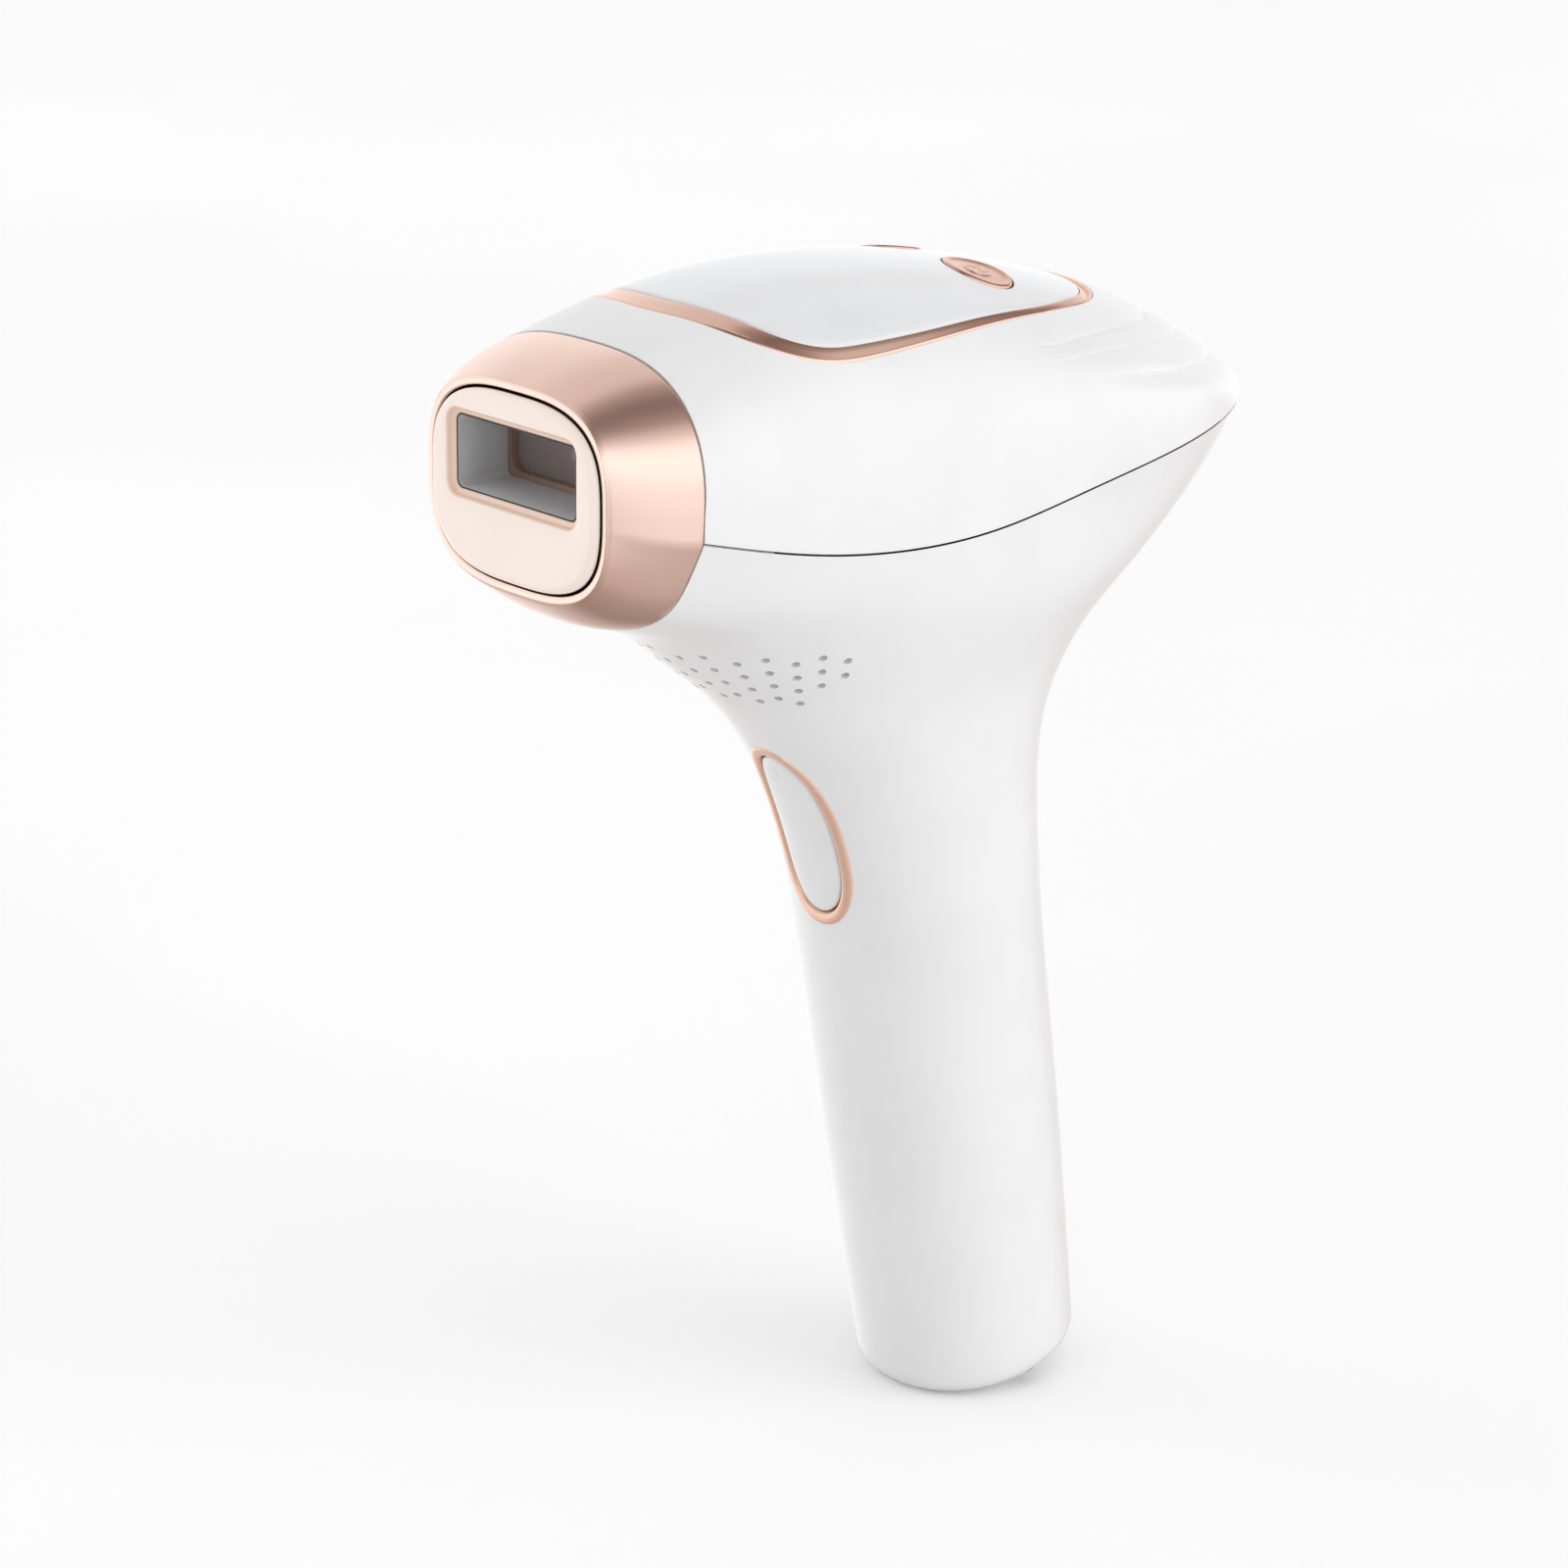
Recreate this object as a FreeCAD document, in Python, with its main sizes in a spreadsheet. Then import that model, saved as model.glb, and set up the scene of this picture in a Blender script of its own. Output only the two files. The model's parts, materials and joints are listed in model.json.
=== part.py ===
import FreeCAD, Part
import Sketcher
import math
import os
import re

# IPL hair remover: a pistol-grip flash handset.
# +Z is up, the flash window faces -Y, +X is the right-hand side. Millimetres.
# The origin is the middle of the grip, on the handle's axis.

Vector = FreeCAD.Vector
doc = FreeCAD.newDocument("IplHairRemover")
sheet = doc.addObject("Spreadsheet::Sheet", "Sizes")

# ---------------------------------------------------------------- driving dimensions

# Side profile of housing and handle: level up the body, front edge, rear edge, half width.
STATIONS = (
    (-56.0, -7.9, 27.9, 17.5),
    (-3.0, -18.9, 20.7, 18.6),
    (33.0, -26.1, 15.3, 19.7),
    (48.0, -31.0, 14.6, 20.1),
    (60.0, -37.7, 15.6, 21.2),
    (70.0, -47.0, 20.4, 23.0),
    (78.0, -57.2, 27.2, 26.1),
    (86.0, -69.6, 37.6, 29.4),
    (93.0, -90.3, 48.0, 30.8),
    (100.0, -105.7, 55.9, 31.7),
    (112.0, -115.4, 62.4, 35.9),
)
# Parting line between cover and housing, and the ridge of the cover: distance along, height.
SEAM = ((-76.0, 106.3), (-56.0, 101.6), (-36.0, 99.3), (-20.0, 99.5),
        (0.0, 101.9), (20.0, 103.6), (40.0, 104.8), (60.0, 106.4))
RIDGE = ((-74.5, 131.2), (-60.0, 135.2), (-45.0, 137.5), (-25.0, 137.4), (-5.0, 134.8),
         (15.0, 130.0), (35.0, 122.7), (50.0, 114.4), (57.0, 110.0))

SIZES = (
    ("lean", 9.8, "lean of the handle in degrees, foot towards the tail"),
    ("wall", 2.2, "wall of the housing"),
    ("cover_wall", 2.4, "wall of the cover"),
    ("seam_gap", 0.2, "gap along the parting line"),
    ("foot_round", 4.0, "rounding of the handle's foot"),
    ("foot_level", -55.5, "level of the foot"),
    ("body_front", -76.1, "front of cover and housing at nose_height"),
    ("body_tilt", 0.07, "tilt of that plane, length per height"),
    ("nose_height", 109.0, "height where body_front is taken"),
    ("rim_front", -88.0, "front of the nose bezel"),
    ("rim_half", 19.9, "half width of the bezel's rim"),
    ("rim_rise", 15.9, "half height of the bezel's rim"),
    ("rim_height", 110.8, "height of the rim's centre"),
    ("bezel_wall", 1.3, "wall of the nose bezel"),
    ("plate_half", 19.1, "half width of the face plate"),
    ("plate_rise", 14.25, "half height of the face plate"),
    ("plate_front", -89.2, "front of the face plate"),
    ("plate_thick", 1.6, "thickness of the face plate"),
    ("plate_travel", 0.8, "travel of the face plate"),
    ("window_width", 27.2, "flash window, inside width"),
    ("window_tall", 12.3, "flash window, inside height"),
    ("window_height", 115.0, "height of the window's centre"),
    ("tunnel_wall", 0.5, "wall of the light tunnel"),
    ("tunnel_front", -88.3, "front of the light tunnel"),
    ("tunnel_rear", -78.6, "rear of the light tunnel"),
    ("lamp_radius", 2.5, "flash lamp radius"),
    ("lamp_half", 17.5, "half length of the lamp's glass"),
    ("lamp_depth", -69.0, "distance of the lamp along Y"),
    ("panel_thick", 1.1, "thickness of the top panel and its trim"),
    ("button_radius", 5.45, "top buttons"),
    ("button_gap", 0.3, "gap round the top buttons"),
    ("button_x", 10.0, "top buttons, distance from the middle"),
    ("button_y", -4.4, "top buttons, distance along"),
    ("button_travel", 0.4, "travel of the top buttons"),
    ("trigger_tilt", 22.0, "tilt of the flash button's face in degrees"),
    ("trigger_y", -31.5, "middle of the flash button"),
    ("trigger_z", 44.5, "middle of the flash button"),
    ("trigger_travel", 1.0, "travel of the flash button"),
    ("ring_width", 1.9, "width of the ring round the flash button"),
    ("trigger_gap", 0.3, "gap between flash button and ring"),
    ("vent_radius", 0.7, "small holes under the nose"),
    ("fan_size", 35.0, "cooling fan, square side"),
    ("fan_depth", 10.0, "cooling fan, thickness"),
    ("fan_y", -38.0, "front of the cooling fan"),
    ("fan_z", 112.0, "height of the fan's shaft"),
    ("fan_bore", 15.9, "bore of the fan frame"),
    ("fan_tip", 15.3, "radius at the blade tips"),
    ("fan_hub", 8.0, "radius of the fan hub"),
    ("fan_pin", 1.25, "radius of the fan's shaft"),
    ("fan_fit", 0.05, "radial play of the fan's hub"),
    ("sink_width", 34.0, "heat sink width"),
    ("sink_tall", 22.0, "heat sink height"),
    ("sink_base", 3.0, "heat sink base"),
    ("sink_fin", 1.0, "heat sink fin thickness"),
    ("sink_reach", 15.0, "heat sink fin length"),
    ("sink_front", -60.0, "front of the heat sink"),
    ("tray_z", 92.0, "underside of the chassis tray"),
    ("tray_thick", 1.8, "thickness of the chassis tray"),
    ("board_z", 96.0, "underside of the main board"),
    ("board_thick", 1.6, "board thickness"),
    ("screw_shank", 1.05, "screw shank radius"),
    ("screw_head", 2.2, "screw head radius"),
    ("screw_pilot", 1.1, "screw pilot hole radius"),
    ("cell_radius", 11.0, "flash capacitor radius"),
    ("cell_low", -35.0, "flash capacitor, lower end along the handle"),
    ("cell_high", 19.0, "flash capacitor, upper end along the handle"),
    ("jack_radius", 4.1, "power socket outer radius"),
    ("jack_bore", 2.85, "power socket bore radius"),
    ("jack_pin", 1.05, "power socket centre pin radius"),
    ("jack_deep", 9.5, "power socket bore depth"),
)


def fill_sheet():
    row = 1
    columns = ("level", "front", "rear", "half")
    entries = list(SIZES)
    for i, station in enumerate(STATIONS):
        for word, value in zip(columns, station):
            entries.append((f"{word}_at_{i}", value, "side profile"))
    for word, points in (("seam", SEAM), ("ridge", RIDGE)):
        for i, (along, height) in enumerate(points):
            entries.append((f"{word}_along_{i}", along, word))
            entries.append((f"{word}_high_{i}", height, word))
    for word, value, note in entries:
        sheet.set(f"A{row}", word)
        sheet.set(f"B{row}", str(value))
        sheet.set(f"C{row}", note)
        sheet.setAlias(f"B{row}", word)
        row += 1
    doc.recompute()


fill_sheet()


def size(word):
    return float(sheet.get(word))


def bind(obj, prop, text):
    """Tie a property to an expression written in the sheet's own words."""
    obj.setExpression(prop, re.sub(r"[a-z]\w*", lambda m: "Sizes." + m.group(0), text))


# ---------------------------------------------------------------- curves of the body

def spline(knots):
    """Natural cubic through (t, value) pairs, straight beyond its ends."""
    t = [k[0] for k in knots]
    v = [k[1] for k in knots]
    n = len(knots)
    step = [t[i + 1] - t[i] for i in range(n - 1)]
    slope = [(v[i + 1] - v[i]) / step[i] for i in range(n - 1)]
    diag = [1.0] * n
    rhs = [0.0] * n
    upper = [0.0] * n
    for i in range(1, n - 1):
        low = step[i - 1]
        diag[i] = 2 * (step[i - 1] + step[i]) - low * upper[i - 1]
        rhs[i] = (6 * (slope[i] - slope[i - 1]) - low * rhs[i - 1]) / diag[i]
        upper[i] = step[i] / diag[i]
    bend = [0.0] * n
    for i in range(n - 2, 0, -1):
        bend[i] = rhs[i] - upper[i] * bend[i + 1]

    def at(x):
        if x <= t[0]:
            return v[0] + (x - t[0]) * (slope[0] - step[0] * bend[1] / 6)
        if x >= t[-1]:
            return v[-1] + (x - t[-1]) * (slope[-1] + step[-1] * bend[-2] / 6)
        i = max(k for k in range(n - 1) if t[k] <= x)
        a = (t[i + 1] - x) / step[i]
        b = 1 - a
        curve = (a ** 3 - a) * bend[i] + (b ** 3 - b) * bend[i + 1]
        return a * v[i] + b * v[i + 1] + curve * step[i] ** 2 / 6

    return at


def rate(curve, x):
    return (curve(x + 0.1) - curve(x - 0.1)) / 0.2


count = range(len(STATIONS))
front_of = spline([(size(f"level_at_{i}"), size(f"front_at_{i}")) for i in count])
rear_of = spline([(size(f"level_at_{i}"), size(f"rear_at_{i}")) for i in count])
half_of = spline([(size(f"level_at_{i}"), size(f"half_at_{i}")) for i in count])
seam_of = spline([(size(f"seam_along_{i}"), size(f"seam_high_{i}")) for i in range(len(SEAM))])
ridge_of = spline([(size(f"ridge_along_{i}"), size(f"ridge_high_{i}")) for i in range(len(RIDGE))])

LEAN = math.radians(size("lean"))
UP = Vector(0, -math.sin(LEAN), math.cos(LEAN))
ROUND = 2.1
FADE = 70.0


def oval(angle, power):
    """Unit superellipse."""
    c = math.cos(angle)
    s = math.sin(angle)
    r = (abs(c) ** power + abs(s) ** power) ** (-1 / power)
    return c * r, s * r


def extents(level, inset=0.0):
    """Front, rear and half width at a level, measured in from the skin by a wall."""
    f = front_of(level)
    b = rear_of(level)
    w = half_of(level)
    if inset:
        f += inset * math.hypot(1, rate(front_of, level))
        b -= inset * math.hypot(1, rate(rear_of, level))
        w -= inset * math.hypot(1, rate(half_of, level))
    return f, b, w


def ring(level, inset=0.0, shrink=0.0, points=40):
    """Closed outline of the body at a level, inside its skin by inset, drawn in by shrink."""
    f, b, w = extents(level, inset)
    f, b, w = f + shrink, b - shrink, w - shrink
    middle = (f + b) / 2
    tilt = math.tan(LEAN) * min(max((FADE - level) / FADE, 0), 1)
    out = []
    for i in range(points):
        along, across = oval(2 * math.pi * i / points, ROUND)
        y = middle + along * (b - f) / 2
        out.append(Vector(across * w, y, level + tilt * (y - middle)))
    return out


def half_width(y, z, inset=0.0):
    """Half width of the housing near the head, where its levels are flat."""
    f, b, w = extents(z, inset)
    t = abs((y - (f + b) / 2) / ((b - f) / 2))
    return w * (1 - min(t, 1) ** ROUND) ** (1 / ROUND)


def find_tail():
    low = 40.0
    high = 80.0
    for _ in range(40):
        mid = (low + high) / 2
        if rear_of(seam_of(mid)) > mid:
            low = mid
        else:
            high = mid
    return low


TAIL = find_tail()
TAIL_ROUND = 9.0


def crown(y):
    """Height of the cover's ridge above the parting line."""
    rise = ridge_of(y) - seam_of(y)
    past = max(0.0, (y - (TAIL - TAIL_ROUND)) / TAIL_ROUND)
    return rise * math.sqrt(max(0.0, 1 - past ** 2)) if past else rise


def power_at(y):
    return 2.8 - 0.5 * min(max((y + 76) / 76, 0), 1)


def cover_section(y, inset=0.0, points=30):
    """Arch of the cover at y, from right to left, as points."""
    def width(a):
        return half_width(a, seam_of(a))

    w = width(y)
    h = crown(y)
    if inset:
        w -= inset * math.hypot(1, rate(width, y))
        h -= inset * math.hypot(1, rate(crown, y))
    z = seam_of(y)
    out = []
    for i in range(points + 1):
        across, rise = oval(math.pi * i / points, power_at(y))
        out.append(Vector(across * w, y, z + rise * h))
    return out


def top_height(x, y):
    """Height of the cover's skin above (x, y)."""
    w = half_width(y, seam_of(y))
    p = power_at(y)
    return seam_of(y) + crown(y) * (1 - min(abs(x) / w, 1) ** p) ** (1 / p)


# ---------------------------------------------------------------- shape helpers

def closed(points):
    """Closed smooth wire through points that need not be evenly spaced."""
    curve = Part.BSplineCurve()
    curve.interpolate(Points=points, PeriodicFlag=True)
    return Part.Wire(curve.toShape())


def open_curve(points):
    curve = Part.BSplineCurve()
    curve.interpolate(Points=points)
    return curve.toShape()


def section(points):
    """Closed section for a loft: every section shares one set of knots."""
    steps = [i / len(points) for i in range(len(points) + 1)]
    curve = Part.BSplineCurve()
    curve.interpolate(Points=points, PeriodicFlag=True, Parameters=steps)
    return Part.Wire(curve.toShape())


def arch(points, drop=0.0):
    """Loft section with a curve over the top and a straight foot, lowered by drop."""
    last = len(points) - 1
    curve = Part.BSplineCurve()
    curve.interpolate(Points=points, Parameters=[i / last for i in range(last + 1)])
    if not drop:
        return Part.Wire([curve.toShape(), Part.makeLine(points[-1], points[0])])
    low = [p - Vector(0, 0, drop) for p in (points[-1], points[0])]
    foot = Part.makePolygon([points[-1]] + low + [points[0]])
    return Part.Wire([curve.toShape()] + foot.Edges)


def loft(wires):
    return Part.makeLoft(wires, True, False)


def prism(points, way):
    return Part.Face(closed(points)).extrude(way)


def inset_loop(points, depth):
    """Move a closed loop inwards along its own normals, in the plane of x and y."""
    area = sum(a.x * b.y - b.x * a.y for a, b in zip(points, points[1:] + points[:1]))
    turn = 1 if area > 0 else -1
    out = []
    for i, p in enumerate(points):
        along = points[(i + 1) % len(points)] - points[i - 1]
        normal = Vector(-along.y, along.x, 0) * turn
        out.append(p + normal.normalize() * depth)
    return out


def mirrored(half):
    """Full loop from its right half, given from one end on the middle line to the other."""
    right = [Vector(x, y, 0) for x, y in half]
    left = [Vector(-p.x, p.y, 0) for p in reversed(right[1:-1])]
    return right + left


def block(x0, x1, y0, y1, z0, z1):
    return Part.makeBox(x1 - x0, y1 - y0, z1 - z0, Vector(x0, y0, z0))


def post(at, radius, z0, z1):
    return Part.makeCylinder(radius, z1 - z0, Vector(at.x, at.y, z0))


def rod(radius, start, end):
    way = end - start
    return Part.makeCylinder(radius, way.Length, start, way)


def tube_along(points, radius):
    path = Part.Wire(open_curve(points))
    start = path.Edges[0].tangentAt(path.Edges[0].FirstParameter)
    circle = Part.Wire(Part.makeCircle(radius, points[0], start))
    return path.makePipeShell([circle], True, True)


made = {}


def shape_node(name, shape):
    """A node whose form is worked out by Part functions from the sheet's sizes."""
    feature = doc.addObject("Part::Feature", name)
    feature.Label = name
    feature.Shape = shape
    made[name] = feature
    return feature


def tree_node(name, obj):
    obj.Label = name
    made[name] = obj
    return obj


# ---------------------------------------------------------------- skins

LEVELS = [-49, -43, -36, -28, -19, -9, 1, 11, 21, 31, 38, 44, 50, 55, 60, 65, 70, 74, 78,
          82, 86, 90, 93, 96.5, 100, 104, 108, 112]


def body_solid(inset, foot, rounding=0.0):
    """Handle and lower head as one solid, with its foot rounded off if asked."""
    rings = [ring(foot, inset)]
    if rounding:
        turns = [math.pi / 2 * i / 5 for i in range(6)]
        rings = [ring(foot + rounding * (1 - math.cos(a)), inset, rounding * (1 - math.sin(a)))
                 for a in turns]
    rings += [ring(a, inset) for a in LEVELS if a > foot + 3 + rounding / 2]
    return loft([section(r) for r in rings])


def over_seam(lift):
    """Everything above the parting line, raised by lift."""
    pts = [Vector(-60, y, seam_of(y) + lift) for y in range(-130, 91, 10)]
    edge = open_curve(pts)
    top = Part.makePolygon([pts[-1], Vector(-60, 90, 190), Vector(-60, -130, 190), pts[0]])
    return Part.Face(Part.Wire([edge] + top.Edges)).extrude(Vector(120, 0, 0))


def ahead_of_body(shift):
    """Everything ahead of the plane between bezel and body, moved by shift along Y."""
    y = size("body_front") + shift
    z = size("nose_height")
    lean = size("body_tilt")
    far = y - 80
    pts = [Vector(-60, y + lean * (dz - z), dz) for dz in (40, 180)]
    pts += [Vector(-60, far, 180), Vector(-60, far, 40)]
    return Part.Face(Part.makePolygon(pts + pts[:1])).extrude(Vector(120, 0, 0))


outer = body_solid(0.0, size("foot_level"))
rounded = body_solid(0.0, size("foot_level"), size("foot_round"))
inner = body_solid(size("wall"), size("foot_level") - 2)

spread = [math.sin(math.pi / 2 * i / 22) for i in range(22)]
NOSE_START = -84.0
cover_ys = [NOSE_START + (TAIL - NOSE_START - 0.12) * s for s in spread] + [TAIL - 0.2]
cover_outer = loft([arch(cover_section(y)) for y in cover_ys if y < TAIL - 0.1])
inner_end = TAIL - 6.0
inner_ys = [NOSE_START - 1 + (inner_end - NOSE_START + 1) * s for s in spread] + [inner_end]
cover_inner = loft([arch(cover_section(y, size("cover_wall")), 4.0) for y in inner_ys])

# ---------------------------------------------------------------- panel and trim outlines

TRIM_OUTER = mirrored([(0, -64.0), (8, -63.3), (15.5, -61.0), (21, -56.2), (23.9, -49), (24.6, -40),
                       (24.1, -29), (22.2, -12), (19.6, 3), (16.8, 12.5), (12.5, 19), (6.5, 21.8),
                       (0, 22.5)])
TRIM_INNER = mirrored([(0, -59.6), (7, -59.1), (13.7, -57.4), (18.6, -54.4), (21.6, -49.5),
                       (22.8, -41), (22.5, -28.5), (20.7, -12), (18.2, 2.5), (15.4, 11.2),
                       (11.2, 17.2), (5.8, 19.4), (0, 20.0)])


def column(loop):
    return prism([Vector(p.x, p.y, 60) for p in loop], Vector(0, 0, 100))


def layer(solid, top, bottom):
    """The part of a prism between the cover's skin lowered by top and by bottom."""
    low = cover_outer.copy()
    low.translate(Vector(0, 0, -bottom))
    high = cover_outer
    if top:
        high = cover_outer.copy()
        high.translate(Vector(0, 0, -top))
    return solid.common(high).cut(low)


thick = size("panel_thick")
gap = 0.05
button_at = [Vector(side * size("button_x"), size("button_y"), 0) for side in (1, -1)]


button_hole = size("button_radius") + size("button_gap")
panel = layer(column(inset_loop(TRIM_INNER, gap)), 0, thick)
for at in button_at:
    panel = panel.cut(post(at, button_hole, 100, 150))
shape_node("top_panel", panel)

trim = column(inset_loop(TRIM_OUTER, gap)).cut(column(TRIM_INNER))
shape_node("panel_trim", layer(trim, 0, thick))

# ---------------------------------------------------------------- cover

cover = cover_outer.cut(cover_inner)
recess = column(TRIM_OUTER)
floor = cover_outer.copy()
floor.translate(Vector(0, 0, -thick - gap - size("seam_gap")))
cover = cover.cut(recess.cut(floor))
cover = cover.cut(column(inset_loop(TRIM_INNER, 2.0)))
cover = cover.cut(ahead_of_body(0))
cover.translate(Vector(0, 0, size("seam_gap")))

HOOK_WIDTH = 6.0
HOOK_THICK = 1.3
HOOK_REACH = 4.0


def hook(y, side):
    """Snap hook inside the cover's edge, reaching down behind the housing's wall."""
    z = seam_of(y)
    ends = (y - HOOK_WIDTH / 2, y + HOOK_WIDTH / 2)
    face = min(half_width(e, z - HOOK_REACH, size("wall")) for e in ends) - 0.2
    skin = min(half_width(e, z) for e in ends) - 0.7
    tab = block(face - HOOK_THICK, face, *ends, z - HOOK_REACH, z + 5)
    root = block(face - HOOK_THICK, skin, *ends, z + 1.2, z + 5)
    both = tab.fuse(root).removeSplitter()
    return both if side > 0 else both.mirror(Vector(), Vector(1, 0, 0))


cover = cover.multiFuse([hook(y, side) for y in (-50, -20, 8) for side in (1, -1)])
shape_node("top_cover", cover)

# ---------------------------------------------------------------- frames of the handle

HANDLE = Vector(0, 0.4, 0)
FOOT_MIDDLE = (front_of(size("foot_level")) + rear_of(size("foot_level"))) / 2
FOOT = (Vector(0, FOOT_MIDDLE, size("foot_level")) - HANDLE).dot(UP)
handle_frame = FreeCAD.Placement(HANDLE, FreeCAD.Rotation(Vector(1, 0, 0), size("lean")))


def on_handle(shape):
    """Place a shape drawn along +Z onto the handle's leaning axis."""
    out = shape.copy()
    out.Placement = handle_frame.multiply(out.Placement)
    return out


TILT = math.radians(size("trigger_tilt"))
OUT = Vector(0, -math.cos(TILT), -math.sin(TILT))
trigger_origin = Vector(0, size("trigger_y"), size("trigger_z"))
trigger_frame = FreeCAD.Placement(trigger_origin, FreeCAD.Rotation(Vector(1, 0, 0),
                                                                   90 + size("trigger_tilt")))


def on_trigger(shape):
    """Place a shape drawn with x across, y up the handle and z outwards."""
    out = shape.copy()
    out.Placement = trigger_frame.multiply(out.Placement)
    return out


def skin_depth(up):
    """How far the front skin lies behind the trigger's plane, on the middle line."""
    rise = Vector(0, -math.sin(TILT), math.cos(TILT)) * up
    low = -10.0
    high = 10.0
    for _ in range(40):
        mid = (low + high) / 2
        p = trigger_origin + rise + OUT * mid
        if p.y < front_of(p.z - math.tan(LEAN) * (1 - p.z / FADE) * 0.5 * (p.y + 0.17 * p.z)):
            high = mid
        else:
            low = mid
    return low


def sunk(solid, depth):
    """The body's solid moved in along the trigger's axis."""
    out = solid.copy()
    out.translate(OUT * -depth)
    return out


# ---------------------------------------------------------------- housing

TRIGGER = mirrored([(0, -16.8), (4.0, -15.5), (7.0, -11.2), (8.1, -4), (8.1, 3), (7.5, 8.5),
                    (6.1, 13.2), (3.4, 16.7), (0, 17.9)])


def trigger_column(inset):
    loop = inset_loop(TRIGGER, inset) if inset else TRIGGER
    return on_trigger(prism([Vector(p.x, p.y, -12) for p in loop], Vector(0, 0, 24)))


mid_wall = body_solid(size("wall") / 2, size("foot_level") - 2)
housing = rounded.cut(inner).cut(over_seam(0)).cut(ahead_of_body(0))

BOSS_RADIUS = 3.0
tray_at = [Vector(x, y, 0) for x in (-12.0, 12.0) for y in (-50.0, 18.0)]
bosses = [post(at, BOSS_RADIUS, 60, size("tray_z")).common(mid_wall) for at in tray_at]

CRADLES = (-30.0, 10.0)
CRADLE_THICK = 2.0
cell_gap = 0.15


def handle_slab(low, high):
    return on_handle(block(-40, 40, -40, 40, low, high))


for low in CRADLES:
    rib = handle_slab(low, low + CRADLE_THICK).common(mid_wall)
    rib = rib.cut(on_handle(rod(size("cell_radius") + cell_gap, Vector(0, 0, -60), Vector(0, 0, 40))))
    bosses.append(rib.cut(on_handle(block(-3.4, 3.4, 8, 17.2, low - 1, low + 4))))

CAP_THICK = 2.5
CAP_SCREW_X = 13.0
cap_at = [Vector(side * CAP_SCREW_X, 0, 0) for side in (1, -1)]
for at in cap_at:
    boss = rod(2.7, at + Vector(0, 0, FOOT + CAP_THICK + 0.1), at + Vector(0, 0, FOOT + 13))
    bosses.append(on_handle(boss).common(mid_wall))
housing = housing.multiFuse(bosses)

holes = [post(at, size("screw_pilot"), size("tray_z") - 9, size("tray_z") + 1) for at in tray_at]
for at in cap_at:
    hole = rod(size("screw_pilot"), at + Vector(0, 0, FOOT), at + Vector(0, 0, FOOT + 11))
    holes.append(on_handle(hole))
holes.append(trigger_column(0))

# Field of small holes: columns fan out round the neck, each leaning along the skin.
VENT_AXIS = Vector(0, -28, 0)
VENT_TURN = 8.2
VENT_ROWS = {0: (0, 1, 2, 3), 1: (0, 1, 2, 3), 2: (0, 1, 2, 3), 3: (0, 1, 2, 3), 4: (0, 1, 2, 3),
             5: (0, 1, 2, 3), 6: (0, 1, 2), 7: (0, 1)}


def vent(column_at, row):
    """One hole, aimed from outside at the flare under the nose."""
    turn = math.radians(VENT_TURN) * column_at
    z = 82.0 - 2.8 * row - (1.0 if abs(column_at) % 2 else 0.0)
    way = Vector(math.sin(turn), -math.cos(turn), 0)
    low = 0.0
    high = 60.0
    for _ in range(30):
        mid = (low + high) / 2
        p = VENT_AXIS + way * mid
        f, b, w = extents(z)
        t = abs((p.y - (f + b) / 2) / ((b - f) / 2))
        if t ** ROUND + (abs(p.x) / w) ** ROUND < 1:
            low = mid
        else:
            high = mid
    skin = VENT_AXIS + way * low + Vector(0, 0, z)
    aim = (way * 0.62 + Vector(0, 0, -0.78)).normalize()
    return rod(size("vent_radius"), skin + aim * 1.6, skin - aim * 4.6)


for at, rows in VENT_ROWS.items():
    for row in rows:
        holes.append(vent(at, row))
        if at:
            holes.append(vent(-at, row))
housing = housing.cut(Part.makeCompound(holes))
shape_node("lower_housing", housing)

# ---------------------------------------------------------------- flash button

ring_column = trigger_column(0.05).cut(trigger_column(size("ring_width")))
ring_shape = ring_column.common(sunk(outer, -0.3)).cut(sunk(outer, 3.0))
shape_node("trigger_ring", ring_shape)

key_column = trigger_column(size("ring_width") + size("trigger_gap"))
FLANGE_BACK = 4.6
key = key_column.common(sunk(outer, 0.1)).cut(sunk(outer, FLANGE_BACK))
flange = trigger_column(0.9).common(sunk(outer, 3.3)).cut(sunk(outer, FLANGE_BACK))
SWITCH_UP = -4.0
SPRING_UP = 7.5
BOARD_BACK = -14.0
STEM_END = -9.4
stem = rod(1.2, Vector(0, SWITCH_UP, skin_depth(SWITCH_UP) - FLANGE_BACK + 0.8),
           Vector(0, SWITCH_UP, STEM_END))
key = key.multiFuse([flange, on_trigger(stem)])
shape_node("trigger_button", key)

switch = block(-2.9, 2.9, SWITCH_UP - 6.4, SWITCH_UP + 6.4, BOARD_BACK, -8.7)
stop = STEM_END - size("trigger_travel") - 0.8
switch = switch.cut(rod(1.55, Vector(0, SWITCH_UP, stop), Vector(0, SWITCH_UP, 0)))
shape_node("trigger_switch", on_trigger(switch))
board = block(-7.5, 7.5, -14, 14, BOARD_BACK - 1.6, BOARD_BACK)
shape_node("trigger_board", on_trigger(board))
bulkhead = on_trigger(block(-40, 40, -17, 17, BOARD_BACK - 3.2, BOARD_BACK - 1.7))
fitted = body_solid(size("wall") + 0.15, size("foot_level") - 2)
shape_node("switch_carrier", bulkhead.common(fitted))


def coil(radius, wire, length, turns):
    """Helix spring along +Z from the origin."""
    pitch = length / turns
    helix = Part.makeHelix(pitch, length, radius)
    along = Vector(0, 2 * math.pi * radius, pitch)
    circle = Part.Wire(Part.makeCircle(wire, Vector(radius, 0, 0), along))
    return Part.Wire(helix.Edges).makePipeShell([circle], True, True)


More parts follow.
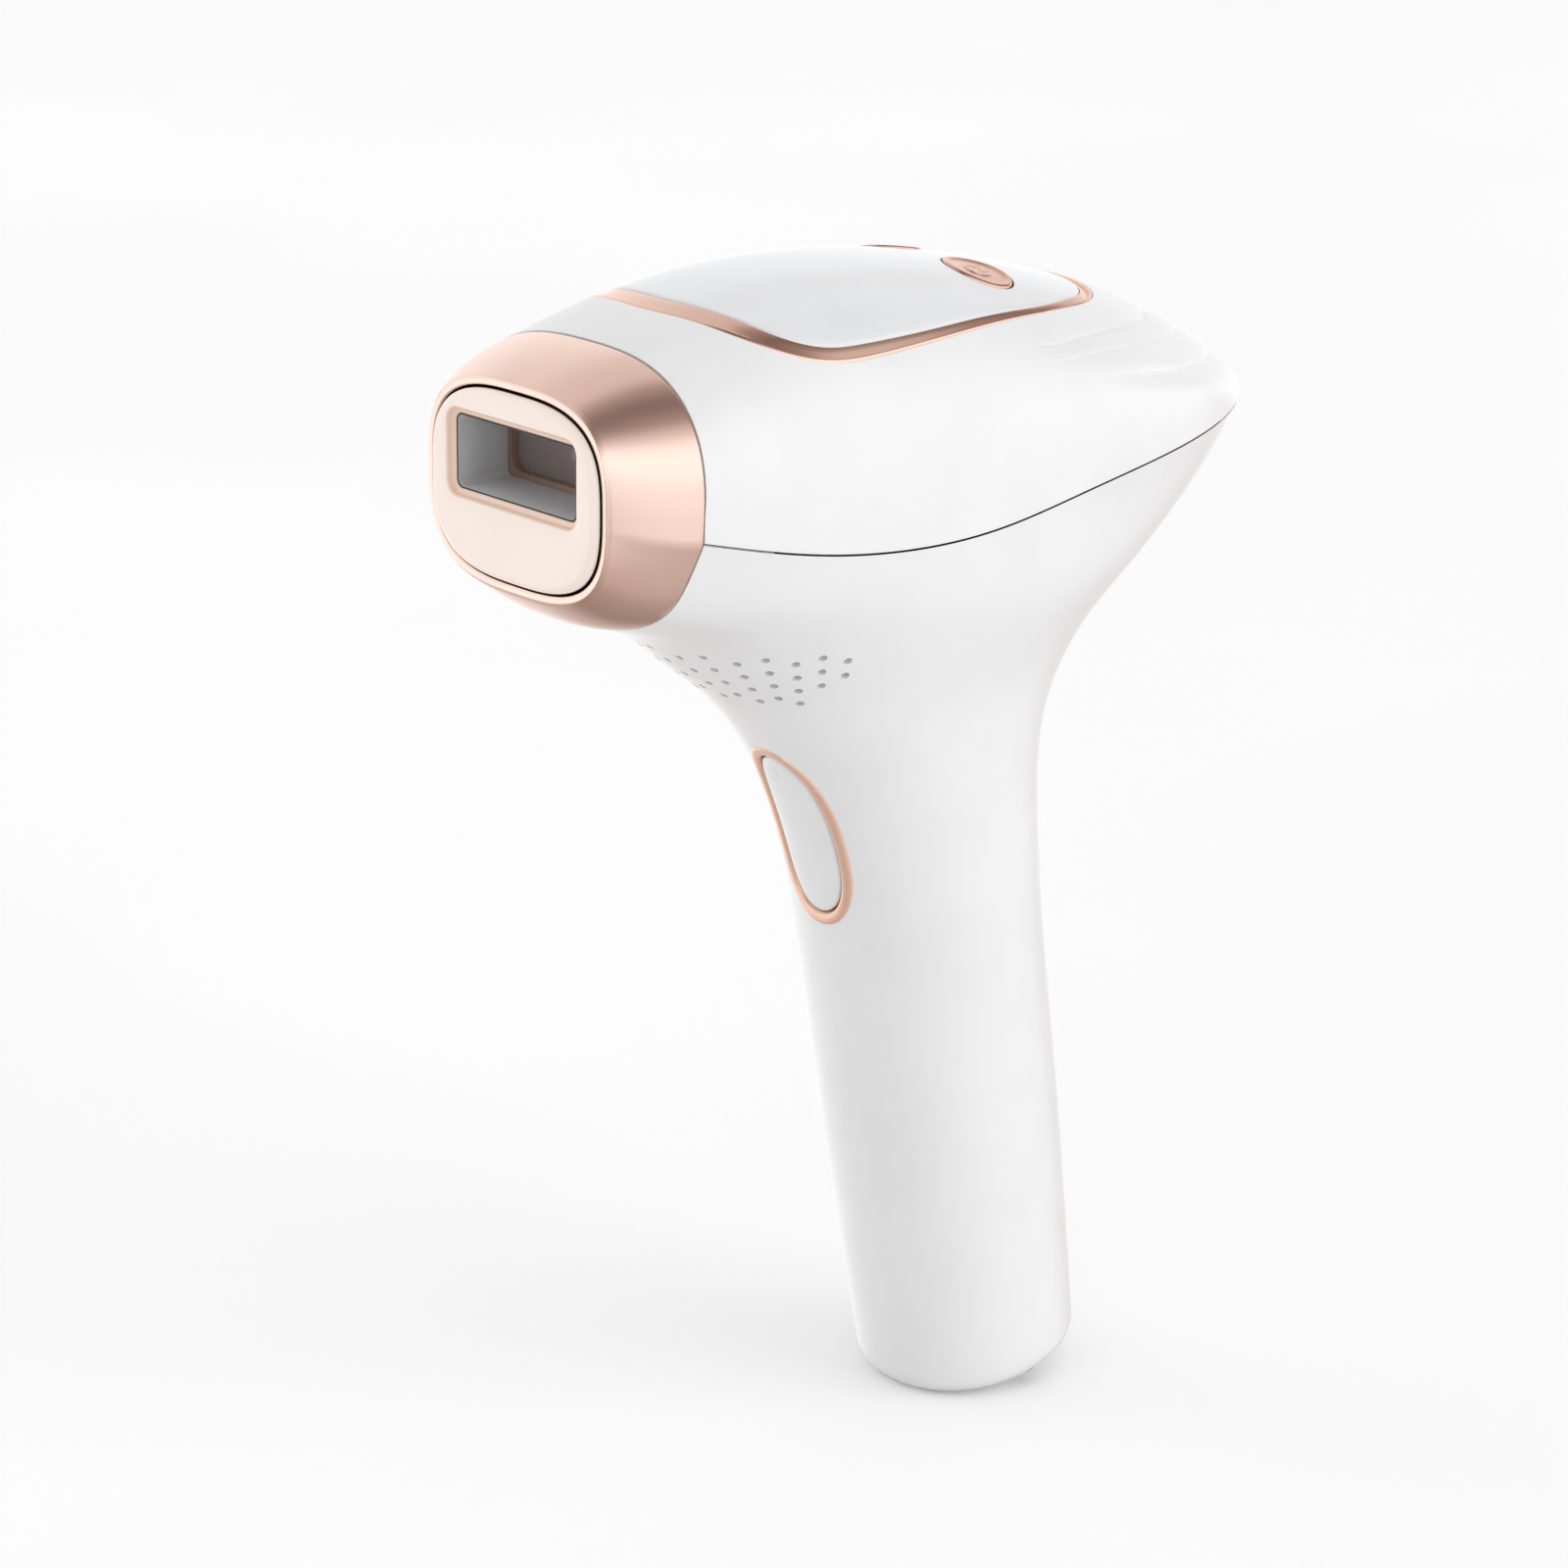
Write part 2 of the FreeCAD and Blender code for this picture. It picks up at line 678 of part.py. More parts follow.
spring_top = min(skin_depth(SPRING_UP + d) for d in (-2.5, 0, 2.5)) - FLANGE_BACK - 0.5
spring = coil(2.0, 0.3, spring_top - BOARD_BACK - 0.4, 4)
spring.translate(Vector(0, SPRING_UP, BOARD_BACK + 0.35))
shape_node("trigger_spring", on_trigger(spring))

# ---------------------------------------------------------------- nose bezel

NOSE_MIDDLE = Vector(0, 0, 110.0)


def inside_body(x, z):
    """Is (x, z) inside the body's outline on the plane where the bezel meets it?"""
    y = size("body_front") + size("body_tilt") * (z - size("nose_height"))
    foot = seam_of(y)
    if z >= foot:
        w = half_width(y, foot)
        h = ridge_of(y) - foot
        p = power_at(y)
        return (abs(x) / w) ** p + ((z - foot) / h) ** p < 1
    return front_of(z) < y and abs(x) < half_width(y, z)


def reach(angle):
    low = 0.0
    high = 60.0
    for _ in range(40):
        mid = (low + high) / 2
        if inside_body(mid * math.cos(angle), NOSE_MIDDLE.z + mid * math.sin(angle)):
            low = mid
        else:
            high = mid
    return low


NOSE_POINTS = 48
nose_angles = [2 * math.pi * i / NOSE_POINTS for i in range(NOSE_POINTS)]
rear_reach = [reach(a) for a in nose_angles]
RIM_POWER = 3.0
NOSE_SWELL = 1.63


def rim_loop(half, rise, power=RIM_POWER, middle=None):
    """Superellipse of the face: (x, height) pairs."""
    z = size("rim_height") if middle is None else middle
    out = []
    for a in nose_angles:
        across, up = oval(a, power)
        out.append((across * half, z + up * rise))
    return out


def nose_ring(t, inset):
    """Outline of the nose from its rim (t = 0) to the body (t = 1), drawn in by inset."""
    swell = NOSE_SWELL * t - (NOSE_SWELL - 1) * t * t if t < 1 else 1.0
    rim = rim_loop(size("rim_half") - inset, size("rim_rise") - inset)
    out = []
    for (x, z), a, r in zip(rim, nose_angles, rear_reach):
        rx = (r - inset) * math.cos(a)
        rz = NOSE_MIDDLE.z + (r - inset) * math.sin(a)
        px = x + swell * (rx - x)
        pz = z + swell * (rz - z)
        rear_y = size("body_front") + size("body_tilt") * (pz - size("nose_height"))
        out.append(Vector(px, size("rim_front") * (1 - t) + rear_y * t, pz))
    return out


def behind(points, distance):
    return [p + Vector(0, distance, 0) for p in points]


NOSE_GAP = 0.2
steps = [0, 0.12, 0.3, 0.5, 0.75, 1]
nose_outer = loft([section(nose_ring(t, 0)) for t in steps])
nose_inner = loft([section(nose_ring(t, size("bezel_wall"))) for t in [0.12, 0.3, 0.5, 0.75, 1.05]])
tongue_root = loft([section(behind(nose_ring(1, 0.9), d)) for d in (-2.4, -0.1)])
tongue = loft([section(behind(nose_ring(1, 3.0), d)) for d in (-2.4, 3.4)])
tongue_bore = loft([section(behind(nose_ring(1, 4.0), d)) for d in (-3, 4)])
bezel = nose_outer.cut(nose_inner).fuse(tongue_root).fuse(tongue).cut(tongue_bore)
opening = [Vector(x, -100, z) for x, z in rim_loop(size("plate_half") + 0.3, size("plate_rise") + 0.3)]
bezel = bezel.cut(prism(opening, Vector(0, 13.6, 0)))
bezel.translate(Vector(0, -NOSE_GAP, 0))
shape_node("nose_bezel", bezel)

# ---------------------------------------------------------------- floating face plate


def plate_prism(inset, y0, y1):
    loop = rim_loop(size("plate_half") - inset, size("plate_rise") - inset)
    return prism([Vector(x, y0, z) for x, z in loop], Vector(0, y1 - y0, 0))


def window_prism(grow, radius, y0, y1):
    """Rounded rectangle about the window, grown all round, from y0 to y1."""
    w = size("window_width") + 2 * grow
    h = size("window_tall") + 2 * grow
    z = size("window_height")
    bar = block(-w / 2, w / 2, y0, y1, z - h / 2, z + h / 2)
    edges = [e for e in bar.Edges if abs(e.tangentAt(0).y) > 0.9]
    return bar.makeFillet(radius, edges)


front = size("plate_front")
back = front + size("plate_thick")
SKIRT_REAR = -85.1
plate = plate_prism(0, front, back)
rim_edges = [e for e in plate.Edges if e.BoundBox.YMax < front + 0.01]
plate = plate.makeChamfer(0.35, rim_edges)
skirt = plate_prism(0, back, SKIRT_REAR).cut(plate_prism(1.6, back - 1, SKIRT_REAR + 1))
flange = plate_prism(-0.55, SKIRT_REAR - 1.2, SKIRT_REAR).cut(plate_prism(1.6, -90, -80))
plate = plate.fuse(skirt).fuse(flange)
plate = plate.cut(window_prism(0.85, 1.8, front - 1, SKIRT_REAR + 1))
plate = plate.cut(window_prism(1.35, 2.2, front - 1, front + 0.5))
shape_node("contact_plate", plate)

# ---------------------------------------------------------------- light tunnel and lamp

tunnel = window_prism(size("tunnel_wall"), 1.7, size("tunnel_front"), size("tunnel_rear"))
FLANGE_Y = -79.9
flange = prism([Vector(x, FLANGE_Y, z) for x, z in rim_loop(20.9, 15.7)],
               Vector(0, size("tunnel_rear") - FLANGE_Y, 0))
tunnel = tunnel.fuse(flange)
tunnel = tunnel.cut(window_prism(0, 1.3, size("tunnel_front") - 1, size("tunnel_rear") + 1))
shape_node("window_frame", tunnel)

frame_plate = window_prism(2.6, 2.0, -78.5, -77.3).cut(window_prism(-0.9, 2.6, -79, -76))
shape_node("filter_frame", frame_plate)
shape_node("filter_glass", window_prism(1.2, 1.0, -77.2, -75.9))

LAMP = Vector(0, size("lamp_depth"), size("window_height"))
tall = size("window_height")
holder = block(-19, 19, -75.7, -60, tall - 9, tall + 9)
holder = holder.makeChamfer(2.6, [e for e in holder.Edges if abs(e.tangentAt(0).y) > 0.9])
holder = holder.cut(block(-15.6, 15.6, -77, -59, tall - 8, tall + 8))
across = Vector(1, 0, 0)
lamp_bore = rod(size("lamp_radius") + 0.1, LAMP - across * 20, LAMP + across * 20)
shape_node("lamp_holder", holder.cut(lamp_bore))
shape_node("flash_lamp", rod(size("lamp_radius"), LAMP - across * size("lamp_half"),
                             LAMP + across * size("lamp_half")))
ends = [rod(1.9, LAMP + across * side * (size("lamp_half") + 0.02), LAMP + across * side * 21)
        for side in (1, -1)]
shape_node("lamp_electrodes", Part.makeCompound(ends))


def reflector_curve(grow):
    """Parabola open towards the window, in the plane of y and z, grown outwards."""
    out = []
    for i in range(-6, 7):
        t = i / 6
        out.append(Vector(-15.4, -63.4 + grow - 12.1 * t * t, tall + t * (7.2 + grow)))
    return out


dish = Part.Face(Part.Wire([open_curve(reflector_curve(0.5)),
                            Part.makeLine(reflector_curve(0.5)[-1], reflector_curve(0)[-1]),
                            open_curve(reflector_curve(0)),
                            Part.makeLine(reflector_curve(0)[0], reflector_curve(0.5)[0])]))
shape_node("lamp_reflector", dish.extrude(Vector(30.8, 0, 0)))

# ---------------------------------------------------------------- springs and switches of the face

spring_places = [(side * 18.2, size("rim_height") + rise) for side in (1, -1) for rise in (7, -7)]
springs = []
for x, z in spring_places:
    turn = coil(0.8, 0.15, FLANGE_Y - SKIRT_REAR - 0.5, 4)
    turn.Placement = FreeCAD.Placement(Vector(x, FLANGE_Y - 0.2, z),
                                       FreeCAD.Rotation(Vector(1, 0, 0), 90))
    springs.append(turn)
shape_node("plate_springs", Part.makeCompound(springs))

touch = []
for side in (1, -1):
    z = size("rim_height") + side * (size("plate_rise") - 0.9)
    y = SKIRT_REAR + size("plate_travel") + 1.1
    touch.append(block(-3.5, 3.5, y, FLANGE_Y - 0.02, z - 1.3, z + 1.3))
shape_node("skin_switches", Part.makeCompound(touch))

# ---------------------------------------------------------------- drawn bodies

FACING_BACK = FreeCAD.Rotation(Vector(-1, 0, 0), Vector(0, 0, 1), Vector(0, 1, 0), "ZYX")


def number(value):
    return size(value) if isinstance(value, str) else float(value)


def new_body(name, at=("0", "0", "0"), turn=None):
    """PartDesign body whose place is tied to the sheet."""
    body = doc.addObject("PartDesign::Body", name)
    if turn:
        body.Placement = FreeCAD.Placement(Vector(), turn)
    for axis, text in zip("xyz", at):
        bind(body, f"Placement.Base.{axis}", text)
    return tree_node(name, body)


def new_sketch(body, name, height="0"):
    sketch = body.newObject("Sketcher::SketchObject", name)
    plane = next(f for f in body.Origin.OriginFeatures if f.Role == "XY_Plane")
    sketch.AttachmentSupport = [(plane, "")]
    sketch.MapMode = "FlatFace"
    bind(sketch, "AttachmentOffset.Base.z", height)
    return sketch


def constrain(sketch, constraint, value):
    index = sketch.addConstraint(constraint)
    if isinstance(value, str):
        bind(sketch, f"Constraints[{index}]", value)


def rectangle(sketch, width, tall, cx=0.0, cy=0.0):
    """Rectangle about (cx, cy), its sides tied to the sheet when given as words."""
    w, t, x, y = number(width), number(tall), float(cx), float(cy)
    corners = [Vector(x + a * w / 2, y + b * t / 2, 0) for a, b in ((-1, -1), (1, -1), (1, 1), (-1, 1))]
    first = sketch.GeometryCount
    for i in range(4):
        sketch.addGeometry(Part.LineSegment(corners[i], corners[(i + 1) % 4]), False)
    for i in range(4):
        sketch.addConstraint(Sketcher.Constraint("Coincident", first + i, 2, first + (i + 1) % 4, 1))
    for i, kind in enumerate(("Horizontal", "Vertical", "Horizontal", "Vertical")):
        sketch.addConstraint(Sketcher.Constraint(kind, first + i))
    centre = sketch.addGeometry(Part.Point(Vector(x, y, 0)), True)
    sketch.addConstraint(Sketcher.Constraint("Symmetric", first, 1, first + 2, 1, centre, 1))
    sketch.addConstraint(Sketcher.Constraint("DistanceX", -1, 1, centre, 1, x))
    sketch.addConstraint(Sketcher.Constraint("DistanceY", -1, 1, centre, 1, y))
    constrain(sketch, Sketcher.Constraint("DistanceX", first, 1, first, 2, w), width)
    constrain(sketch, Sketcher.Constraint("DistanceY", first + 1, 1, first + 1, 2, t), tall)


def round_hole(sketch, radius, cx=0.0, cy=0.0):
    r = number(radius)
    i = sketch.addGeometry(Part.Circle(Vector(cx, cy, 0), Vector(0, 0, 1), r), False)
    sketch.addConstraint(Sketcher.Constraint("DistanceX", -1, 1, i, 3, float(cx)))
    sketch.addConstraint(Sketcher.Constraint("DistanceY", -1, 1, i, 3, float(cy)))
    constrain(sketch, Sketcher.Constraint("Radius", i, r), radius)


def pad(body, sketch, name, length):
    feature = body.newObject("PartDesign::Pad", name)
    feature.Profile = sketch
    bind(feature, "Length", length)
    return feature


def pocket_through(body, sketch, name):
    feature = body.newObject("PartDesign::Pocket", name)
    feature.Profile = sketch
    feature.Type = "ThroughAll"
    feature.Midplane = True
    return feature


# ---------------------------------------------------------------- heat sink and fan

FINS = 9
sink = new_body("heat_sink", ("0", "sink_front", "window_height"), FACING_BACK)
sketch = new_sketch(sink, "SinkBase")
rectangle(sketch, "sink_width", "sink_tall")
pad(sink, sketch, "SinkPlate", "sink_base")
sketch = new_sketch(sink, "SinkFin", "sink_base")
rectangle(sketch, "sink_fin", "sink_tall", -(size("sink_width") - size("sink_fin")) / 2)
fin = pad(sink, sketch, "SinkFinPad", "sink_reach")
row = sink.newObject("PartDesign::LinearPattern", "SinkFins")
row.Originals = [fin]
row.Direction = (sketch, ["H_Axis"])
bind(row, "Length", "sink_width - sink_fin")
row.Occurrences = FINS
sink.Tip = row
doc.recompute()

FAN_AT = ("0", "fan_y", "fan_z")
FAN_HOLE = 14.6
frame = new_body("fan_frame", FAN_AT, FACING_BACK)
sketch = new_sketch(frame, "FanSquare")
rectangle(sketch, "fan_size", "fan_size")
round_hole(sketch, "fan_bore")
pad(frame, sketch, "FanShroud", "fan_depth")
sketch = new_sketch(frame, "FanScrewHoles")
for x in (-FAN_HOLE, FAN_HOLE):
    for y in (-FAN_HOLE, FAN_HOLE):
        round_hole(sketch, 1.3, x, y)
pocket_through(frame, sketch, "FanScrewPocket")
sketch = new_sketch(frame, "FanStator", "fan_depth - 1.4")
round_hole(sketch, "fan_hub")
pad(frame, sketch, "FanStatorPad", "1.4")
for label, w, t in (("Upright", 2.0, 32.4), ("Level", 32.4, 2.0)):
    sketch = new_sketch(frame, "FanStrut" + label, "fan_depth - 1.4")
    rectangle(sketch, w, t)
    pad(frame, sketch, "FanStrutPad" + label, "1.4")
sketch = new_sketch(frame, "FanShaft", "2")
round_hole(sketch, "fan_pin")
pad(frame, sketch, "FanShaftPad", "fan_depth - 3")
doc.recompute()

BLADES = 7
hub = Part.makeCylinder(size("fan_hub"), 7.4, Vector(0, 0, 0.8))
hub = hub.cut(Part.makeCylinder(size("fan_pin") + size("fan_fit"), 7, Vector(0, 0, 1.6)))
sweep = Part.makeCylinder(size("fan_tip"), 6.4, Vector(0, 0, 1.2))
rotor = hub
for i in range(BLADES):
    blade = block(size("fan_hub") - 0.8, 18, -0.5, 0.5, -4, 12)
    blade.rotate(Vector(0, 0, 4.4), Vector(1, 0, 0), 42)
    blade.rotate(Vector(), Vector(0, 0, 1), 360 * i / BLADES)
    rotor = rotor.fuse(blade.common(sweep))
rotor.Placement = FreeCAD.Placement(Vector(0, size("fan_y"), size("fan_z")), FACING_BACK)
shape_node("fan_rotor", rotor)

# ---------------------------------------------------------------- chassis tray

tray = new_body("chassis_tray", ("0", "0", "tray_z"))
sketch = new_sketch(tray, "TrayFront")
rectangle(sketch, 38.8, 22.0, 0, -49.0)
pad(tray, sketch, "TrayFrontPad", "tray_thick")
sketch = new_sketch(tray, "TrayRear")
rectangle(sketch, 30.8, 64.0, 0, -8.0)
pad(tray, sketch, "TrayRearPad", "tray_thick")
sketch = new_sketch(tray, "TrayCheeks")
for x in (-18.2, 18.2):
    rectangle(sketch, 1.8, 17.0, x, -50.6)
pad(tray, sketch, "TrayCheekPad", "33")
sketch = new_sketch(tray, "TrayRails")
for x in (-14.0, 14.0):
    rectangle(sketch, 2.0, 8.0, x, -33.0)
pad(tray, sketch, "TrayRailPad", "fan_z - fan_size / 2 - tray_z")
sketch = new_sketch(tray, "TrayPosts")
BOARD_POSTS = [(x, y) for x in (-13.0, 13.0) for y in (-16.0, 10.0)]
for x, y in BOARD_POSTS:
    round_hole(sketch, 2.0, x, y)
pad(tray, sketch, "TrayPostPad", "board_z - tray_z")
sketch = new_sketch(tray, "TrayScrewHoles")
for at in tray_at:
    round_hole(sketch, 1.4, at.x, at.y)
for x, y in BOARD_POSTS:
    round_hole(sketch, 0.8, x, y)
pocket_through(tray, sketch, "TrayScrewPocket")
sketch = new_sketch(tray, "TrayCableSlot")
rectangle(sketch, 10.0, 8.0, 0, 9.0)
pocket_through(tray, sketch, "TrayCablePocket")
doc.recompute()

# ---------------------------------------------------------------- boards

main = new_body("main_board", ("0", "0", "board_z"))
sketch = new_sketch(main, "BoardOutline")
rectangle(sketch, 32.0, 43.0, 0, 2.0)
for x, y in BOARD_POSTS:
    round_hole(sketch, 1.1, x, y)
pad(main, sketch, "BoardPad", "board_thick")
BOARD_TOP = size("board_z") + size("board_thick")

core = block(-10.5, 5.5, -2, 12, BOARD_TOP, BOARD_TOP + 12)
core = core.cut(block(-8.5, 3.5, -3, 13, BOARD_TOP + 2.5, BOARD_TOP + 9.5))
winding = Part.makeCylinder(5.4, 11, Vector(-2.5, -0.5, BOARD_TOP + 6), Vector(0, 1, 0))
bobbin = winding.common(block(-8.4, 3.4, -3, 13, BOARD_TOP + 2.6, BOARD_TOP + 9.4))
shape_node("transformer_core", core)
shape_node("transformer_winding", bobbin)
shape_node("trigger_coil", Part.makeCylinder(3.6, 10, Vector(8.5, -10, BOARD_TOP)))
cans = [Part.makeCylinder(3.0, 8, Vector(x, y, BOARD_TOP)) for x, y in ((9, 0), (9, 7.5), (2.5, 18))]
cans = [c.makeFillet(0.5, [e for e in c.Edges if e.BoundBox.ZMin > BOARD_TOP + 7]) for c in cans]
shape_node("board_capacitors", Part.makeCompound(cans))
chips = [block(x, x + 9, y, y + 4.4, BOARD_TOP, BOARD_TOP + 8) for x, y in ((-13, -11), (-13, 16))]
shape_node("power_transistors", Part.makeCompound(chips))

# ---------------------------------------------------------------- top buttons and their board

CONTROL_TOP = 121.0
control = new_body("control_board", ("0", "0", f"{CONTROL_TOP} - board_thick"))
sketch = new_sketch(control, "ControlOutline")
rectangle(sketch, 33.0, 25.0, 0, -5.0)
PANEL_POSTS = [(x, y) for x in (-12.6, 12.6) for y in (-15.0, 5.0)]
for x, y in PANEL_POSTS:
    round_hole(sketch, 0.9, x, y)
pad(control, sketch, "ControlPad", "board_thick")
doc.recompute()

lowered = cover_outer.copy()
lowered.translate(Vector(0, 0, -0.5))
posts = [post(Vector(x, y, 0), 1.7, CONTROL_TOP, 150).common(lowered) for x, y in PANEL_POSTS]
pilots = [post(Vector(x, y, 0), 0.75, CONTROL_TOP - 1, CONTROL_TOP + 4) for x, y in PANEL_POSTS]
made["top_panel"].Shape = panel.multiFuse(posts).cut(Part.makeCompound(pilots))

SWITCH_TALL = 3.6
proud = cover_outer.copy()
proud.translate(Vector(0, 0, 0.35))
FLANGE_RADIUS = 6.3
for at, name in zip(button_at, ("power_button", "mode_button")):
    around = [math.pi * i / 12 for i in range(24)]
    lowest = min(top_height(at.x + FLANGE_RADIUS * math.cos(a), at.y + FLANGE_RADIUS * math.sin(a))
                 for a in around) - thick
    head = post(at, size("button_radius"), lowest - 1.0, 145).common(proud)
    rim_flange = post(at, FLANGE_RADIUS, lowest - 1.2, lowest - 0.25)
    stalk = post(at, 1.45, CONTROL_TOP + 2.1 + size("button_travel"), lowest - 0.5)
    shape_node(name, head.multiFuse([rim_flange, stalk]))
bodies = []
for at in button_at:
    body = block(at.x - 3, at.x + 3, at.y - 3, at.y + 3, CONTROL_TOP, CONTROL_TOP + SWITCH_TALL)
    bodies.append(body.cut(post(at, 1.8, CONTROL_TOP + 1.8, CONTROL_TOP + 9)))
shape_node("panel_switches", Part.makeCompound(bodies))

# ---------------------------------------------------------------- capacitor, foot and power socket

cell = rod(size("cell_radius"), Vector(0, 0, size("cell_low")), Vector(0, 0, size("cell_high")))
cell = cell.makeFillet(1.0, [e for e in cell.Edges if len(e.Vertexes) == 1])
shape_node("flash_capacitor", on_handle(cell))
legs = [rod(0.5, Vector(x, 0, size("cell_high") + 0.01), Vector(x, 0, size("cell_high") + 4))
        for x in (-3.75, 3.75)]
shape_node("capacitor_terminals", on_handle(Part.makeCompound(legs)))

cap = fitted.common(handle_slab(FOOT, FOOT + CAP_THICK)).common(rounded)
cap_holes = [rod(size("jack_radius") + 0.1, Vector(0, 0, FOOT - 1), Vector(0, 0, FOOT + 5))]
for at in cap_at:
    cap_holes.append(rod(1.3, at + Vector(0, 0, FOOT - 1), at + Vector(0, 0, FOOT + 5)))
    cap_holes.append(rod(2.3, at + Vector(0, 0, FOOT - 1), at + Vector(0, 0, FOOT + 1.3)))
cap = cap.cut(on_handle(Part.makeCompound(cap_holes)))
shape_node("end_cap", cap)

JACK_LONG = 14.0
jack = rod(size("jack_radius"), Vector(0, 0, FOOT), Vector(0, 0, FOOT + JACK_LONG))
collar = rod(5.6, Vector(0, 0, FOOT + CAP_THICK + 0.05), Vector(0, 0, FOOT + CAP_THICK + 1.2))
jack = jack.fuse(collar)
jack = jack.cut(rod(size("jack_bore"), Vector(0, 0, FOOT - 1), Vector(0, 0, FOOT + size("jack_deep"))))
shape_node("dc_socket", on_handle(jack))
pin = rod(size("jack_pin"), Vector(0, 0, FOOT + 1), Vector(0, 0, FOOT + size("jack_deep")))
shape_node("socket_pin", on_handle(pin))


def screw(head_at, way, long, shank="screw_shank", head="screw_head", thick=1.3):
    """Pan-head screw: the head sits on head_at, the shank runs along way."""
    body = rod(size(shank) if isinstance(shank, str) else shank, head_at, head_at + way * long)
    top = rod(size(head) if isinstance(head, str) else head, head_at - way * thick, head_at)
    return body.fuse(top)


DOWN = Vector(0, 0, -1)
tray_top = size("tray_z") + size("tray_thick")
shape_node("tray_screws", Part.makeCompound(
    [screw(at + Vector(0, 0, tray_top), DOWN, 9.5) for at in tray_at]))
shape_node("cap_screws", on_handle(Part.makeCompound(
    [screw(at + Vector(0, 0, FOOT + 1.3), -DOWN, 8.5) for at in cap_at])))
small = [screw(Vector(x, y, BOARD_TOP), DOWN, 4.5, 0.75, 1.7, 1.1) for x, y in BOARD_POSTS]
small += [screw(Vector(x, y, CONTROL_TOP - size("board_thick")), -DOWN, 4.5, 0.7, 1.7, 1.1)
          for x, y in PANEL_POSTS]
shape_node("board_screws", Part.makeCompound(small))

# ---------------------------------------------------------------- leads

LEAD = 0.75
supply = []
lamp = []
for side in (1, -1):
    on_axis = [(1.6, 2.6, FOOT + JACK_LONG + 0.7), (1.7, 7.0, FOOT + 18.0), (1.8, 13.0, -33.5),
               (1.8, 13.6, -26.0), (1.8, 13.6, 0.0), (1.8, 13.6, 14.0)]
    route = [handle_frame.multVec(Vector(x * side, y, z)) for x, y, z in on_axis]
    route += [Vector(x * side, y, z) for x, y, z in ((1.9, 9.3, 40), (2.0, 8.8, 60), (2.2, 9.0, 80),
                                                     (2.2, 9.0, size("board_z") - 0.1))]
    supply.append(tube_along(route, LEAD))
    start = handle_frame.multVec(Vector(3.75 * side, 0, size("cell_high") + 4.1))
    route = [start] + [Vector(x * side, y, z) for x, y, z in (
        (4.2, -5.0, 34), (5.0, -8.5, 52), (7.5, -13.5, 67), (13.5, -24.0, 80), (20.2, -37.0, 90),
        (22.0, -48.0, 98), (22.3, -60.0, 107), (22.0, -66.5, 112.5), (21.9, -69.0, 115))]
    lamp.append(tube_along(route, LEAD))
shape_node("supply_leads", Part.makeCompound(supply))
shape_node("lamp_leads", Part.makeCompound(lamp))

# ---------------------------------------------------------------- checks and export

doc.recompute()
for obj in doc.Objects:
    if "Invalid" in obj.State or "Error" in obj.State:
        raise RuntimeError(f"{obj.Name} failed: {obj.State}")
for name, obj in made.items():
    if obj.Shape.isNull() or not obj.Shape.isValid():
        raise RuntimeError(f"{name} has a bad shape")

os.makedirs("parts", exist_ok=True)
for name, obj in made.items():
    obj.Shape.exportStep(f"parts/{name}.step")
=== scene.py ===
import json
import math

import bmesh
import bpy
import numpy as np
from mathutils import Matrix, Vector
from mathutils.bvhtree import BVHTree
from mathutils.interpolate import poly_3d_calc


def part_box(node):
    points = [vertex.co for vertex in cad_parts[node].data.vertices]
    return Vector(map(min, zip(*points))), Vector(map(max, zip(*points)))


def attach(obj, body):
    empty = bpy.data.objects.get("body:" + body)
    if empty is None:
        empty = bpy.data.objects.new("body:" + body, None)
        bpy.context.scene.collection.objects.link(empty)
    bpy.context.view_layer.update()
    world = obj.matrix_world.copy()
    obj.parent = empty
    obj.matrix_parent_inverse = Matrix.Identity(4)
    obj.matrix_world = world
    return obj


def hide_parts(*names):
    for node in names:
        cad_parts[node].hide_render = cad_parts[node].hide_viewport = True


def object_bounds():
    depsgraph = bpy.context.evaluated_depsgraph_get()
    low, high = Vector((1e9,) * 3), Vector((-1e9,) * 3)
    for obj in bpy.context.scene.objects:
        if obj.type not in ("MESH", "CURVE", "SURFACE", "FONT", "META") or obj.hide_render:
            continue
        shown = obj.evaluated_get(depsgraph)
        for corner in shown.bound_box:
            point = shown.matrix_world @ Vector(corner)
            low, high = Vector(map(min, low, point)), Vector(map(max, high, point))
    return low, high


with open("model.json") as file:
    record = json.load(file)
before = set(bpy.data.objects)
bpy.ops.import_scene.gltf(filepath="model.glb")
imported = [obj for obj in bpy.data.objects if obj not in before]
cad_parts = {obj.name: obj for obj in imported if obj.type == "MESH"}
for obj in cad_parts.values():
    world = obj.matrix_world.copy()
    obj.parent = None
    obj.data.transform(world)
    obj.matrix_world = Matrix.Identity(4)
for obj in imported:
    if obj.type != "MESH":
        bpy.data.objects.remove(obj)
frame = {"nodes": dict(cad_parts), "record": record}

# IPL hair remover. Shapes are worked out in millimetres and written to meshes in metres.
cad_box = [list(corner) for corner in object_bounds()]
MM = 0.001


def box_mm(node):
    low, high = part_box(node)
    return np.array(low) / MM, np.array(high) / MM


def add_object(name, data):
    made = bpy.data.objects.new(name, data)
    bpy.context.scene.collection.objects.link(made)
    return made


def node_tools(tree):
    """Functions that add a shader node and that join two sockets."""
    return (lambda kind: tree.nodes.new("ShaderNode" + kind)), tree.links.new


# ---------------------------------------------------------------- camera, lights, floor

AZIMUTH = math.radians(47.14)
ELEVATION = math.radians(18.49)
ROLL = math.radians(0.78)
AIM = Vector((-0.0109, -0.0241, 0.0491))
DISTANCE = 0.745
LENS = 106.85
FLOOR_SIDE = 12.0
FLOOR_GLOW = 0.05


